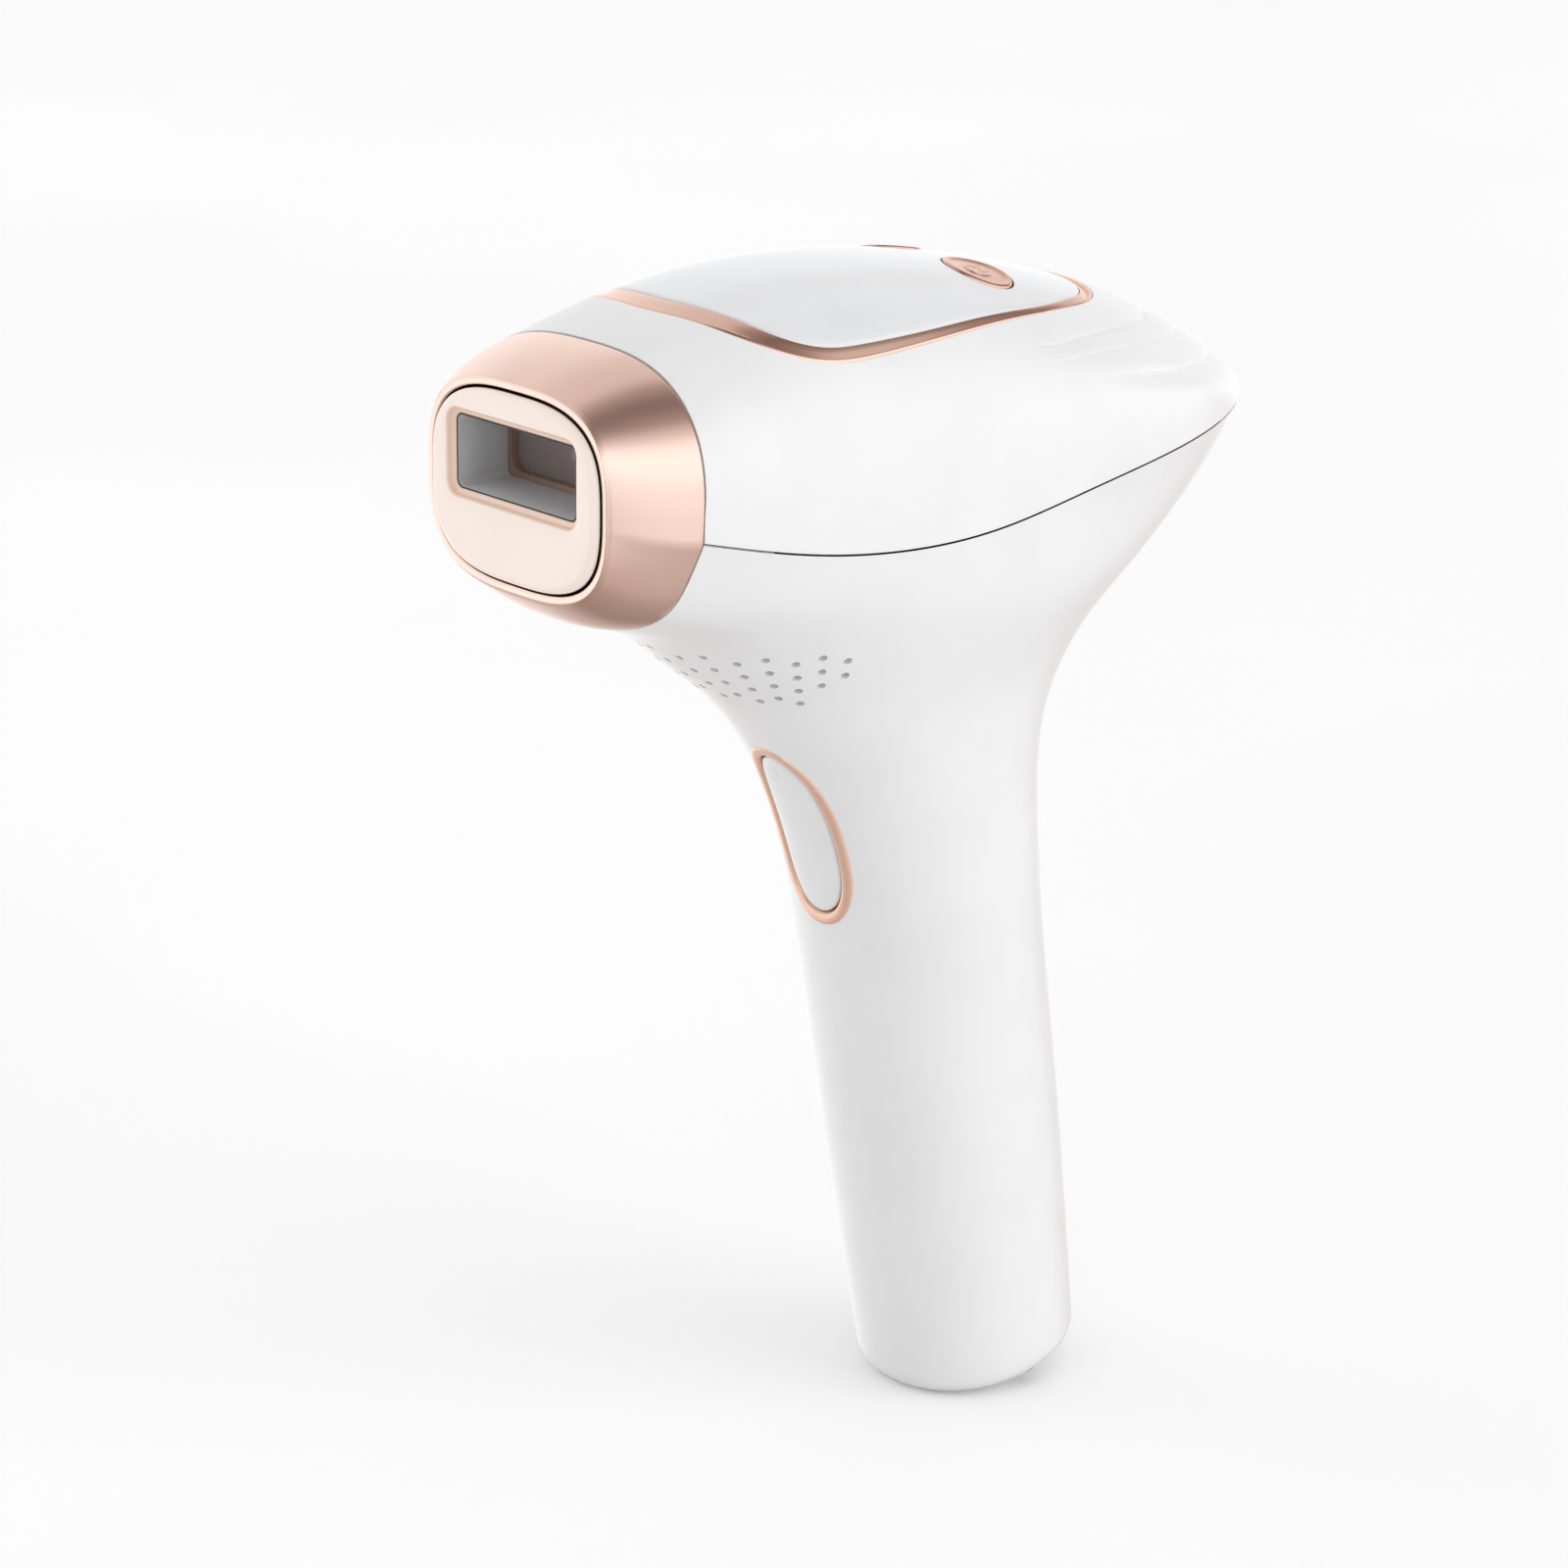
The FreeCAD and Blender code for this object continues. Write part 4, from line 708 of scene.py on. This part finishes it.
def radius_at(angle, loop):
    a, r = polar(loop)
    order = np.argsort(a)
    return np.interp(angle, a[order], r[order], period=2 * math.pi)


# ---------------------------------------------------------------- top cover

SEAM_HALF_GAP = 0.14
EDGE_ROUND = 0.12
FRONT_COLUMNS = 80


def cover_border():
    """Lower border of the cover, from the front right corner round the tail, as points."""
    corner_y = float(nose_plane(seam_of(-76.2)))
    s = np.sin(np.linspace(0, math.pi / 2, 96)) ** 1.15
    ys = corner_y + (TAIL - corner_y) * s
    right = np.stack([half_width(ys, seam_of(ys)), ys, seam_of(ys) + SEAM_HALF_GAP], -1)
    left = right[-2::-1] * (-1, 1, 1)
    across = np.linspace(0, math.pi, FRONT_COLUMNS + 2)[1:-1]
    front = []
    for a in across:
        y = corner_y
        for _ in range(6):
            c, s = oval(a, power_at(y))
            z = seam_of(y) + s * crown(y)
            y = float(nose_plane(z))
        front.append((-c * half_width(y, seam_of(y)), y, z + SEAM_HALF_GAP))
    return np.vstack([right, left, np.array(front)])


def layer_marks(angle):
    """Where each layer's edge crosses the rays, as a share of their length, and its strength."""
    marks = []
    for number, half in enumerate(LAYERS):
        right = np.array(half, float)
        both = np.vstack([right[:0:-1] * (-1, 1), right])
        a, r = polar(both)
        edge = spline(list(zip(a, r)))
        limit = a[-1]
        held = np.clip(angle, -limit, limit)
        start = np.interp(held, angle_sorted, inner_sorted)
        share = (edge(held) - start) / np.interp(held, angle_sorted, span_sorted)
        past = np.clip((np.abs(angle) - limit) / (0.5 * limit), 0, 1)
        share = share + ((number + 1) / 4 - share) * past * past * (3 - 2 * past)
        fade = np.clip((limit * 1.02 - np.abs(angle)) / (limit * 0.35), 0, 1)
        marks.append((share, fade * fade * (3 - 2 * fade)))
    return marks


border = cover_border()
ray_angle, ray_end = polar(border[:, :2])
outer_loop = smooth_loop(TRIM_OUTER, 480)
inner_loop = smooth_loop(TRIM_INNER, 480)
order = np.argsort(ray_angle)
angle_sorted = ray_angle[order]
inner_sorted = radius_at(ray_angle, outer_loop)[order]
span_sorted = ray_end[order] - inner_sorted

# Distances before and after a layer's edge, and how far the skin lies below there.
SHOULDER = ((-6.0, 0.0), (-4.6, 0.02), (-3.4, 0.06), (-2.3, 0.13), (-1.4, 0.21), (-0.7, 0.30),
            (-0.25, 0.37), (-0.06, 0.44), (0.04, 0.74), (0.12, LAYER_DROP), (0.5, LAYER_DROP))


def ray_starts():
    """Where each ray leaves the trim; those to the front border are shared out along it."""
    angle = ray_angle.copy()
    front = len(border) - FRONT_COLUMNS
    step = np.linalg.norm(np.diff(np.vstack([border[front - 1:], border[:1]]), axis=0), axis=1)
    share = np.cumsum(step)[:-1] / step.sum()
    angle[front:] = -angle[0] - share * 2 * (math.pi - angle[0])
    reach = radius_at(angle, outer_loop)[:, None]
    return FAN_CENTRE + np.stack([np.sin(angle), np.cos(angle)], -1) * reach


def cover_rows():
    start_at = ray_starts()
    way = border[:, :2] - start_at
    span = np.linalg.norm(way, axis=1)
    marks = layer_marks(ray_angle)
    shares = [np.zeros_like(span)]
    drops = [np.zeros_like(span)]
    last = np.zeros_like(span)
    before = np.zeros_like(span)
    for share, strength in marks:
        room = (share - last) * span
        near = np.minimum(1.0, room / 8.0) / span
        strength = strength * np.minimum(1.0, room / 6.0)
        start = shares[-1]
        end = share + SHOULDER[0][0] * near
        stops = [(start + (end - start) * s, 0.0) for s in np.linspace(0, 1, 7)[1:-1]]
        stops += [(share + distance * near, drop) for distance, drop in SHOULDER]
        for stop, drop in stops:
            left = np.clip((share - stop) / (share - last), 0, 1)
            shares.append(stop)
            drops.append(drop * strength + LAYER_DROP * before * left ** 1.4)
        last = share
        before = strength
    start = shares[-1]
    rise = (border[:, 2] - seam_of(border[:, 1])) / crown(np.minimum(border[:, 1], TAIL - 1))
    crowding = 1 + 1.5 * (1 - np.clip(rise, 0, 1)) ** 2
    for s in np.linspace(0, 1, 27)[1:-1]:
        eased = 1 - (1 - s) ** crowding
        shares.append(start + (1 - start) * eased)
        drops.append(LAYER_DROP * before * np.maximum(0.0, 1 - 1.6 * eased) ** 1.4)
    rows = []
    for share, drop in zip(shares, drops):
        plan = start_at + way * share[:, None]
        x, y = plan[:, 0], plan[:, 1]
        e = 0.05
        slope_x = (top_height(x + e, y) - top_height(x - e, y)) / (2 * e)
        slope_y = (top_height(x, y + e) - top_height(x, y - e)) / (2 * e)
        slopes = np.clip(np.stack([slope_x, slope_y], -1), -3, 3)
        normal = unit(np.stack([-slopes[:, 0], -slopes[:, 1], np.ones_like(x)], -1))
        skin = np.stack([x, y, top_height(x, y) + SEAM_HALF_GAP], -1)
        rows.append(skin - normal * drop[:, None])
    rows.append(border)
    return np.array(rows)


def cover_normals(rows):
    """Normals of the cover; those of its plain section ahead of the layers."""
    def section(x, y, z):
        p = power_at(y)
        rise = np.maximum(z - SEAM_HALF_GAP - seam_of(y), 0) / crown(y)
        return (np.abs(x) / half_width(y, seam_of(y))) ** p + rise ** p

    e = 0.02
    x, y, z = rows[..., 0], np.minimum(rows[..., 1], 0.0), rows[..., 2]
    plain = unit(np.stack([section(x + e, y, z) - section(x - e, y, z),
                           section(x, y + e, z) - section(x, y - e, z),
                           section(x, y, z + e) - section(x, y, z - e)], -1))
    ahead = rows[..., 1:2] < -20
    return np.where(ahead, plain, row_normals(rows, np.array([0, -10, 100.0])))


def make_cover():
    rows = cover_rows()
    piece = shell("cover_shell", rows, cover_normals(rows), 1.9, EDGE_ROUND, "white_shell")
    # Painted shade: the walls of the seam gap are painted black.
    paint_shade_where(piece, "component_black", in_seam_shade)
    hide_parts("top_cover")
    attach(piece, "body")


# ---------------------------------------------------------------- lower housing

def housing_columns():
    """Angles round the housing, with one on each front corner of the parting line."""
    def over_corner(angle):
        top = housing_top(angle)
        p = on_body(top, angle)
        return nose_plane(p[..., 2]) < p[..., 1] - 1e-4

    corner = float(solve(over_corner, math.pi * 0.5, math.pi))
    behind = np.linspace(0, corner, 76)[:-1]
    ahead = np.linspace(corner, 2 * math.pi - corner, 56)[:-1]
    other = np.linspace(2 * math.pi - corner, 2 * math.pi, 76)[:-1]
    return np.concatenate([behind, ahead, other])


def housing_top(angle):
    """Level where the skin meets the parting line or the bezel's plane."""
    def below(level):
        p = on_body(level, angle)
        return (p[..., 2] < seam_of(p[..., 1]) - SEAM_HALF_GAP) & (p[..., 1] > nose_plane(p[..., 2]))

    low = np.full(np.shape(angle), 60.0)
    return solve(below, low, low + 56)


def housing_rows():
    angle = housing_columns()
    top = housing_top(angle)
    rows = []
    for turn in np.linspace(math.asin(1 - (WALL + 0.1) / FOOT_ROUND), math.pi / 2, 7)[:-1]:
        level = FOOT_LEVEL + FOOT_ROUND * (1 - math.cos(turn))
        rows.append(on_body(level, angle, FOOT_ROUND * (1 - math.sin(turn))))
    start = FOOT_LEVEL + FOOT_ROUND
    for s in np.linspace(0, 1, 96):
        rows.append(on_body(start + (top - start) * s, angle))
    return np.array(rows)


VENT_AXIS = np.array([0.0, -28.0, 0.0])
VENT_TURN = math.radians(8.2)
VENT_TOP = 82.0
VENT_STEP = 2.8
VENT_RADIUS = 0.7
VENTS_IN_COLUMN = (4, 4, 4, 4, 4, 4, 3, 2)


def vent_rods(skin):
    """Small round holes that fan out round the neck, every other column half a step lower."""
    ends = []
    for column, rows in enumerate(VENTS_IN_COLUMN):
        for side in ((1,) if column == 0 else (1, -1)):
            turn = VENT_TURN * column * side
            way = np.array([math.sin(turn), -math.cos(turn), 0])
            for row in range(rows):
                z = VENT_TOP - VENT_STEP * row - (1.0 if column % 2 else 0.0)
                start = VENT_AXIS + (0, 0, z)
                hit = skin[0].ray_cast(Vector(start), Vector(way))[0]
                aim = unit(way * 0.62 + np.array([0, 0, -0.78]))
                ends.append((np.array(hit) + aim * 1.6, np.array(hit) - aim * 4.6))
    return rods(ends, VENT_RADIUS, 20)


def make_housing(rows, skin):
    normals = row_normals(rows, np.array([0, -5, 60.0]))
    piece = shell("housing_shell", rows, normals, WALL - 0.2, EDGE_ROUND, "white_shell")
    outline = inset_loop(smooth_loop(TRIGGER, 120), 0.5)
    prism = [on_trigger(outline, z) for z in (-12.0, 12.0)]
    points, faces = net(prism, False)
    n = len(outline)
    faces += [tuple(range(n)), tuple(range(n, 2 * n))]
    # Painted shade: the walls of the seam gap are painted black.
    paint_shade_where(piece, "component_black", in_seam_shade)
    cut(piece, cutter(points, faces), vent_rods(skin))
    keep_skin_smooth(piece, skin)
    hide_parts("lower_housing")
    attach(piece, "body")


# ---------------------------------------------------------------- flash button

TRIGGER = ((0, -16.8), (4.0, -15.5), (7.0, -11.2), (8.1, -4), (8.1, 3), (7.5, 8.5), (6.1, 13.2),
           (3.4, 16.7), (0, 17.9))
TILT = math.radians(22)
TRIGGER_AT = np.array([0.0, -31.5, 44.5])
TRIGGER_RISE = np.array([0.0, -math.sin(TILT), math.cos(TILT)])
TRIGGER_OUT = np.array([0.0, -math.cos(TILT), -math.sin(TILT)])
RING_WIDTH = 1.9
RING_GAP = 0.3


def on_trigger(plan, out):
    """Points from x across, y up the handle and a distance outwards."""
    return TRIGGER_AT + plan[:, :1] * (1, 0, 0) + plan[:, 1:] * TRIGGER_RISE + TRIGGER_OUT * out


def skin_over(plan, skin, lift):
    """Points on the skin under a plan outline, lifted along the button's travel."""
    hits = [skin[0].ray_cast(Vector(p), Vector(-TRIGGER_OUT))[0] for p in on_trigger(plan, 15.0)]
    return np.array([tuple(hit) for hit in hits]) + TRIGGER_OUT * lift


# Section of the ring: distance in from its outline, height above the skin.
RING_SECTION = ((0.6, -2.4), (0.6, -0.15), (0.0, -0.06), (0.05, 0.10), (0.16, 0.22), (0.34, 0.29),
                (0.60, 0.30), (1.0, 0.26), (1.4, 0.20), (1.66, 0.12), (1.80, 0.0), (1.88, -0.2),
                (1.9, -0.5), (1.9, -2.4))
# Section of the key: distance in from its edge, height above the skin.
KEY_SECTION = ((0.0, -2.4), (0.0, -0.6), (0.04, -0.38), (0.15, -0.2), (0.35, -0.06), (0.7, 0.04),
               (1.4, 0.12), (2.4, 0.16), (3.6, 0.18))


def make_trigger(skin):
    loop = smooth_loop(TRIGGER, 144)
    rows = [skin_over(inset_loop(loop, d), skin, h) for d, h in RING_SECTION]
    ring = hoop("trigger_bezel", rows, "rose_trim", "rose_ring")
    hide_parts("trigger_ring")
    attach(ring, "body")
    edge = inset_loop(loop, RING_WIDTH + RING_GAP)
    rows = [skin_over(inset_loop(edge, d), skin, h) for d, h in KEY_SECTION]
    inner = inset_loop(edge, KEY_SECTION[-1][0])
    spine = np.stack([inner[:, 0] * 0, inner[:, 1] * 0.9], -1)
    for s in (0.5, 1.0):
        rows.append(skin_over(inner + (spine - inner) * s, skin, 0.18))
    under = [skin_over(edge + (spine - edge) * s, skin, -2.4) for s in (1.0, 0.5)]
    key = cap("trigger_key", under + rows, "white_key")
    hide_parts("trigger_button")
    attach(key, "trigger_button")


# ---------------------------------------------------------------- nose bezel

NOSE_MIDDLE = 110.0
RIM_FRONT = -88.2
RIM_HALF = 20.35
RIM_RISE = 15.9
RIM_HEIGHT = 110.8
RIM_POWER = 3.0
NOSE_SWELL = 1.63
NOSE_GAP = 0.2
PLATE_HALF = 18.85
PLATE_RISE = 14.25
NOSE_COLUMNS = 192
BEZEL_INNER = 1.9


def inside_body(x, z):
    """Is (x, z) inside the body's outline on the plane where the bezel meets it?"""
    y = nose_plane(z)
    foot = seam_of(y)
    p = power_at(y)
    up = np.maximum(z - foot, 0) / (ridge_of(y) - foot)
    above = (np.abs(x) / half_width(y, foot)) ** p + up ** p < 1
    below = (front_of(z) < y) & (np.abs(x) < half_width(y, z))
    return np.where(z >= foot, above, below)


def face_loop(half, rise, y, angle):
    across, up = oval(angle, RIM_POWER)
    return np.stack([across * half, np.full_like(across, y), RIM_HEIGHT + up * rise], -1)


def nose_row(t, inset, angle, reach):
    """Outline of the nose from its rim (t = 0) to the body (t = 1), drawn in by inset."""
    swell = NOSE_SWELL * t - (NOSE_SWELL - 1) * t * t
    rim_row = face_loop(RIM_HALF - inset, RIM_RISE - inset, 0, angle)
    rear_x = (reach - inset) * np.cos(angle)
    rear_z = NOSE_MIDDLE + (reach - inset) * np.sin(angle)
    x = rim_row[:, 0] + swell * (rear_x - rim_row[:, 0])
    z = rim_row[:, 2] + swell * (rear_z - rim_row[:, 2])
    y = (RIM_FRONT + NOSE_GAP) * (1 - t) + nose_plane(z) * t - NOSE_GAP
    return np.stack([x, y, z], -1)


def make_bezel():
    angle = np.linspace(0, 2 * math.pi, NOSE_COLUMNS, endpoint=False)
    reach = solve(lambda r: inside_body(r * np.cos(angle), NOSE_MIDDLE + r * np.sin(angle)),
                  np.zeros_like(angle), np.full_like(angle, 60.0))
    half = PLATE_HALF + 0.3
    rise = PLATE_RISE + 0.3
    # Lip round the face plate: distance out from the opening, distance back from the rim.
    lip = ((0.0, 8.0), (0.0, 0.5), (0.03, 0.25), (0.12, 0.08), (0.26, 0.0))
    rows = [face_loop(half + d, rise + d, RIM_FRONT + back, angle) for d, back in lip]
    # Rolled edge of the rim: distance in from the rim's outline, distance back.
    for d, back in ((0.26, 0.0), (0.11, 0.06), (0.03, 0.18)):
        rows.append(face_loop(RIM_HALF - d, RIM_RISE - d, RIM_FRONT + back, angle))
    back = (0.03, 0.06, 0.1, 0.15, 0.2, 0.27, 0.34, 0.42, 0.5, 0.58, 0.66, 0.74, 0.82, 0.9, 0.95, 0.975)
    rows += [nose_row(t, 0, angle, reach) for t in back]
    # Rear edge, turned in where it meets the body: share of the way back, distance in.
    turned = ((0.985, 0.02), (0.995, 0.10), (1.0, 0.25), (1.0, BEZEL_INNER), (0.75, BEZEL_INNER))
    rows += [nose_row(t, inset, angle, reach) for t, inset in turned]
    piece = hoop("nose_shell", rows, "rose_gold")
    # Painted shade: the bezel's wall of the gap round the face plate is painted black.
    paint_shade_where(piece, "component_black", in_plate_gap_shade)
    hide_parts("nose_bezel")
    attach(piece, "body")


def in_seam_shade(spot, normal):
    """Is this a wall of the gap between housing and cover, painted black as shade?"""
    off = abs(spot.z - float(seam_of(spot.y)))
    return abs(off - SEAM_HALF_GAP) < 0.12 and abs(normal.z) > 0.6


def in_plate_gap_shade(spot, normal):
    """Is this on the bezel's side of the gap round the face plate, painted black as shade?"""
    inward = normal.x * spot.x + normal.z * (spot.z - RIM_HEIGHT) < 0
    return inward and abs(normal.y) < 0.4 and RIM_FRONT + 0.3 < spot.y < RIM_FRONT + 8


def on_skirt_shade(spot, normal):
    """Is this on the face plate's own side of that gap, painted black as shade?"""
    outward = normal.x * spot.x + normal.z * (spot.z - RIM_HEIGHT) > 0
    return outward and abs(normal.y) < 0.4 and spot.y > PLATE_FRONT + 1.0


def in_recess_shade(spot, normal):
    """Is this on the sloping border of the flash window, given a darker orange as painted shade?"""
    level = abs(spot.z - WINDOW_HEIGHT) < WINDOW_TALL / 2 + 1.5
    return level and abs(spot.x) < WINDOW_WIDTH / 2 + 1.5 and spot.y > PLATE_FRONT + 0.03


# ---------------------------------------------------------------- face plate

PLATE_FRONT = -89.2
WINDOW_WIDTH = 26.8
WINDOW_TALL = 10.9
WINDOW_HEIGHT = 114.3
TUNNEL_FRONT = PLATE_FRONT + 1.0
TUNNEL_FLANGE = -79.9
FLANGE_HALF = 20.9
FLANGE_RISE = 15.7
CORNER_STEPS = 29
SIDE_STEPS = 11


def window_loop(grow, radius, y):
    """Rounded rectangle about the window, as a row of points."""
    w = WINDOW_WIDTH / 2 + grow - radius
    h = WINDOW_TALL / 2 + grow - radius
    out = []
    for quarter, (sx, sz) in enumerate(((1, 1), (-1, 1), (-1, -1), (1, -1))):
        for i in range(CORNER_STEPS):
            a = math.pi / 2 * (quarter + i / (CORNER_STEPS - 1))
            out.append((sx * w + radius * math.cos(a), y, WINDOW_HEIGHT + sz * h + radius * math.sin(a)))
        nx, nz = ((-1, 1), (-1, -1), (1, -1), (1, 1))[quarter]
        start = np.array(out[-1])
        end = np.array((nx * w + radius * math.cos(a), y, WINDOW_HEIGHT + nz * h + radius * math.sin(a)))
        out += [tuple(start + (end - start) * s / (SIDE_STEPS + 1)) for s in range(1, SIDE_STEPS + 1)]
    return np.array(out)


def window_angles():
    """Angles round the plate's edge that go with the points of window_loop."""
    corner = 0.2 + 0.6 * np.arange(CORNER_STEPS) / (CORNER_STEPS - 1)
    side = 0.8 + 0.4 * np.arange(1, SIDE_STEPS + 1) / (SIDE_STEPS + 1)
    quarter = np.concatenate([corner, side])
    return np.concatenate([quarter + i for i in range(4)]) * math.pi / 2


def make_plate():
    # Window recess: growth round the window, corner radius, distance back from the front.
    recess = ((0.26, 1.32, 2.4), (0.26, 1.32, 1.22), (0.29, 1.35, 1.12), (0.42, 1.48, 1.04),
              (0.80, 1.86, 0.92), (1.02, 2.07, 0.74), (1.12, 2.18, 0.50), (1.18, 2.24, 0.26),
              (1.28, 2.34, 0.10), (1.46, 2.50, 0.0))
    rows = [window_loop(grow, radius, PLATE_FRONT + back) for grow, radius, back in recess]
    inner = rows[-1]
    angle = window_angles()
    # Edge of the plate: distance in from its outline, distance back.
    edge = ((1.2, 0.0), (0.95, 0.04), (0.70, 0.13), (0.45, 0.28), (0.24, 0.46), (0.10, 0.64),
            (0.03, 0.80), (0.0, 0.97), (0.0, 2.4))
    outer = face_loop(PLATE_HALF - edge[0][0], PLATE_RISE - edge[0][0], PLATE_FRONT, angle)
    rows += [inner + (outer - inner) * s for s in (0.33, 0.67)]
    rows += [face_loop(PLATE_HALF - d, PLATE_RISE - d, PLATE_FRONT + back, angle) for d, back in edge]
    piece = hoop("face_shell", rows, "face_peach")
    # Painted shade: the window recess's border gets a darker orange.
    paint_shade_where(piece, "face_edge", in_recess_shade)
    # Painted shade: the plate's side of the gap round it is painted black.
    paint_shade_where(piece, "component_black", on_skirt_shade)
    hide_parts("contact_plate")
    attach(piece, "contact_plate")


def make_tunnel():
    """Grey light tunnel with the flange that holds it behind the bezel."""
    rear = float(box_mm("window_frame")[1][1])
    angle = window_angles()
    # Section: growth round the window, corner radius, place along Y.
    wall = ((0.0, 1.06, rear), (0.0, 1.06, -84.0), (0.0, 1.06, TUNNEL_FRONT + 0.1),
            (0.03, 1.09, TUNNEL_FRONT), (0.20, 1.26, TUNNEL_FRONT), (0.22, 1.28, TUNNEL_FRONT + 0.1),
            (0.22, 1.28, TUNNEL_FLANGE))
    rows = [window_loop(grow, radius, y) for grow, radius, y in wall]
    rows += [face_loop(FLANGE_HALF, FLANGE_RISE, y, angle) for y in (TUNNEL_FLANGE, rear)]
    piece = hoop("light_tunnel", rows, "tunnel_grey")
    # Painted shade: the tunnel's front rim is painted black as a dark line round the window.
    paint_shade_where(piece, "component_black", lambda spot, normal: spot.y < TUNNEL_FRONT + 0.06)
    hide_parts("window_frame")
    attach(piece, "body")


# ---------------------------------------------------------------- trim and top panel

PANEL_THICK = 1.1
# Section of the trim from the panel outwards: share of its width, height above the cover.
TRIM_SECTION = ((0.0, -1.2), (0.0, -0.24), (0.03, -0.15), (0.10, -0.14), (0.35, -0.27), (0.60, -0.42),
                (0.70, -0.46), (0.745, -0.42), (0.775, -0.20), (0.80, 0.02), (0.84, 0.13), (0.89, 0.14),
                (0.94, 0.04), (0.98, -0.12), (1.0, -0.30), (1.0, -1.2))


def lifted(plan, height):
    """Points over a plan outline, a height above the cover's skin."""
    z = top_height(plan[:, 0], plan[:, 1]) + height
    return np.stack([plan[:, 0], plan[:, 1], z], -1)


def make_trim():
    angle = polar(outer_loop)[0]
    inner = FAN_CENTRE + np.stack([np.sin(angle), np.cos(angle)], -1) \
        * radius_at(angle, inner_loop)[:, None]
    outer = inset_loop(outer_loop, 0.1)
    rows = [lifted(inner + (outer - inner) * s, h) for s, h in TRIM_SECTION]
    piece = hoop("trim_band", rows, "rose_trim")
    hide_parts("panel_trim")
    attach(piece, "body")


BUTTON_RADIUS = 5.45
BUTTON_GAP = 0.3
# Edge of the panel: distance in from its outline, depth below the cover's skin.
PANEL_EDGE = ((1.6, 0.0), (0.8, 0.0), (0.5, 0.01), (0.32, 0.05), (0.17, 0.13), (0.06, 0.25),
              (0.0, 0.42), (0.0, PANEL_THICK))
# The panel's rows shrink towards a line on its middle, about this place and by this share.
SPINE_MIDDLE = -19.8
SPINE_SHARE = 0.72


def button_places():
    places = []
    for node in ("power_button", "mode_button"):
        low, high = box_mm(node)
        places.append((low + high) / 2)
    return places


def make_panel():
    loop = inset_loop(inner_loop, 0.08)
    spine = np.stack([loop[:, 0] * 0, SPINE_MIDDLE + (loop[:, 1] - SPINE_MIDDLE) * SPINE_SHARE], -1)
    core = inset_loop(loop, PANEL_EDGE[0][0])
    shares = np.linspace(0, 1, 26)[:-1]
    top = [lifted(spine + (core - spine) * s, 0.0) for s in shares]
    top += [lifted(inset_loop(loop, d), -drop) for d, drop in PANEL_EDGE]
    under = [lifted(spine + (loop - spine) * s, -PANEL_THICK) for s in (0.66, 0.33, 0.0)]
    piece = cap("panel_shell", top + under, "white_shell", "panel_white")
    skin = reference(top[:-1])
    ends = [(np.array([p[0], p[1], 100.0]), np.array([p[0], p[1], 150.0])) for p in button_places()]
    cut(piece, rods(ends, BUTTON_RADIUS + BUTTON_GAP, 96))
    keep_skin_smooth(piece, skin)
    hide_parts("top_panel")
    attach(piece, "body")


# ---------------------------------------------------------------- top buttons

# Section of a button from its middle: radius, height above the cover's skin.
BUTTON_SECTION = ((0.0, -0.10), (1.5, -0.10), (3.0, -0.09), (4.0, -0.06), (4.35, 0.0), (4.6, 0.14),
                  (4.82, 0.27), (5.02, 0.33), (5.2, 0.30), (5.34, 0.20), (5.42, 0.05), (5.45, -0.15),
                  (5.45, -0.95), (0.0, -0.95))
MARK_WIDTH = 0.62


def stroke(path, centre):
    """Raised line on a button: a closed ridge along a plan path."""
    path = np.array(path, float) + centre[:2]
    along = unit(np.gradient(path, axis=0))
    side = np.stack([-along[:, 1], along[:, 0]], -1)
    section = ((-0.5, -0.3), (-0.46, -0.05), (-0.3, 0.12), (0.0, 0.16), (0.3, 0.12), (0.46, -0.05),
               (0.5, -0.3))
    ends = [0.02, 0.7] + [1.0] * (len(path) - 4) + [0.7, 0.02]
    rows = []
    for p, s, size in zip(path, side, ends):
        plan = np.array([p + s * MARK_WIDTH * u * size for u, _ in section])
        rows.append([point + (0, 0, h) for point, (_, h) in zip(lifted(plan, -0.10), section)])
    return net(rows, False)


def arc(radius, start, end):
    turns = np.radians(np.linspace(start, end, 28))
    return np.stack([radius * np.cos(turns), radius * np.sin(turns)], -1)


def line(start, end):
    s = np.linspace(0, 1, 9)[:, None]
    return np.array(start) + (np.array(end) - np.array(start)) * s


# The near button has an arc with a bar through its gap, the other one three bars.
MARKS = {
    "power_button": [arc(1.9, 122, 418), line((0, 0.5), (0, 2.5))],
    "mode_button": [line((x, -1.3), (x, y)) for x, y in ((-1.5, -0.2), (0.0, 0.8), (1.5, 1.9))],
}


def make_buttons():
    around = np.linspace(0, 2 * math.pi, 96, endpoint=False)
    ring_plan = np.stack([np.cos(around), np.sin(around)], -1)
    for node, name in (("power_button", "power_key"), ("mode_button", "mode_key")):
        low, high = box_mm(node)
        centre = (low + high) / 2
        rows = [lifted(centre[:2] + ring_plan * r, h) for r, h in BUTTON_SECTION]
        points, faces = net(rows, False)
        for path in MARKS[node]:
            more, more_faces = stroke(path, centre)
            faces = faces + [tuple(i + len(points) for i in f) for f in more_faces]
            points = np.vstack([points, more])
        piece = new_piece(name, points, faces, "rose_trim", "rose_button")
        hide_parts(node)
        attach(piece, node)


# ---------------------------------------------------------------- build

add_camera()
paint_cad_nodes()
make_cover()
body_rows = housing_rows()
body_skin = reference(body_rows)
make_housing(body_rows, body_skin)
make_trigger(body_skin)
make_bezel()
make_plate()
make_tunnel()
make_trim()
make_panel()
make_buttons()
add_floor(cad_box[0][2])
add_world()
for lamp in STUDIO_LAMPS:
    add_lamp(*lamp)
bpy.context.scene.view_settings.view_transform = "Standard"
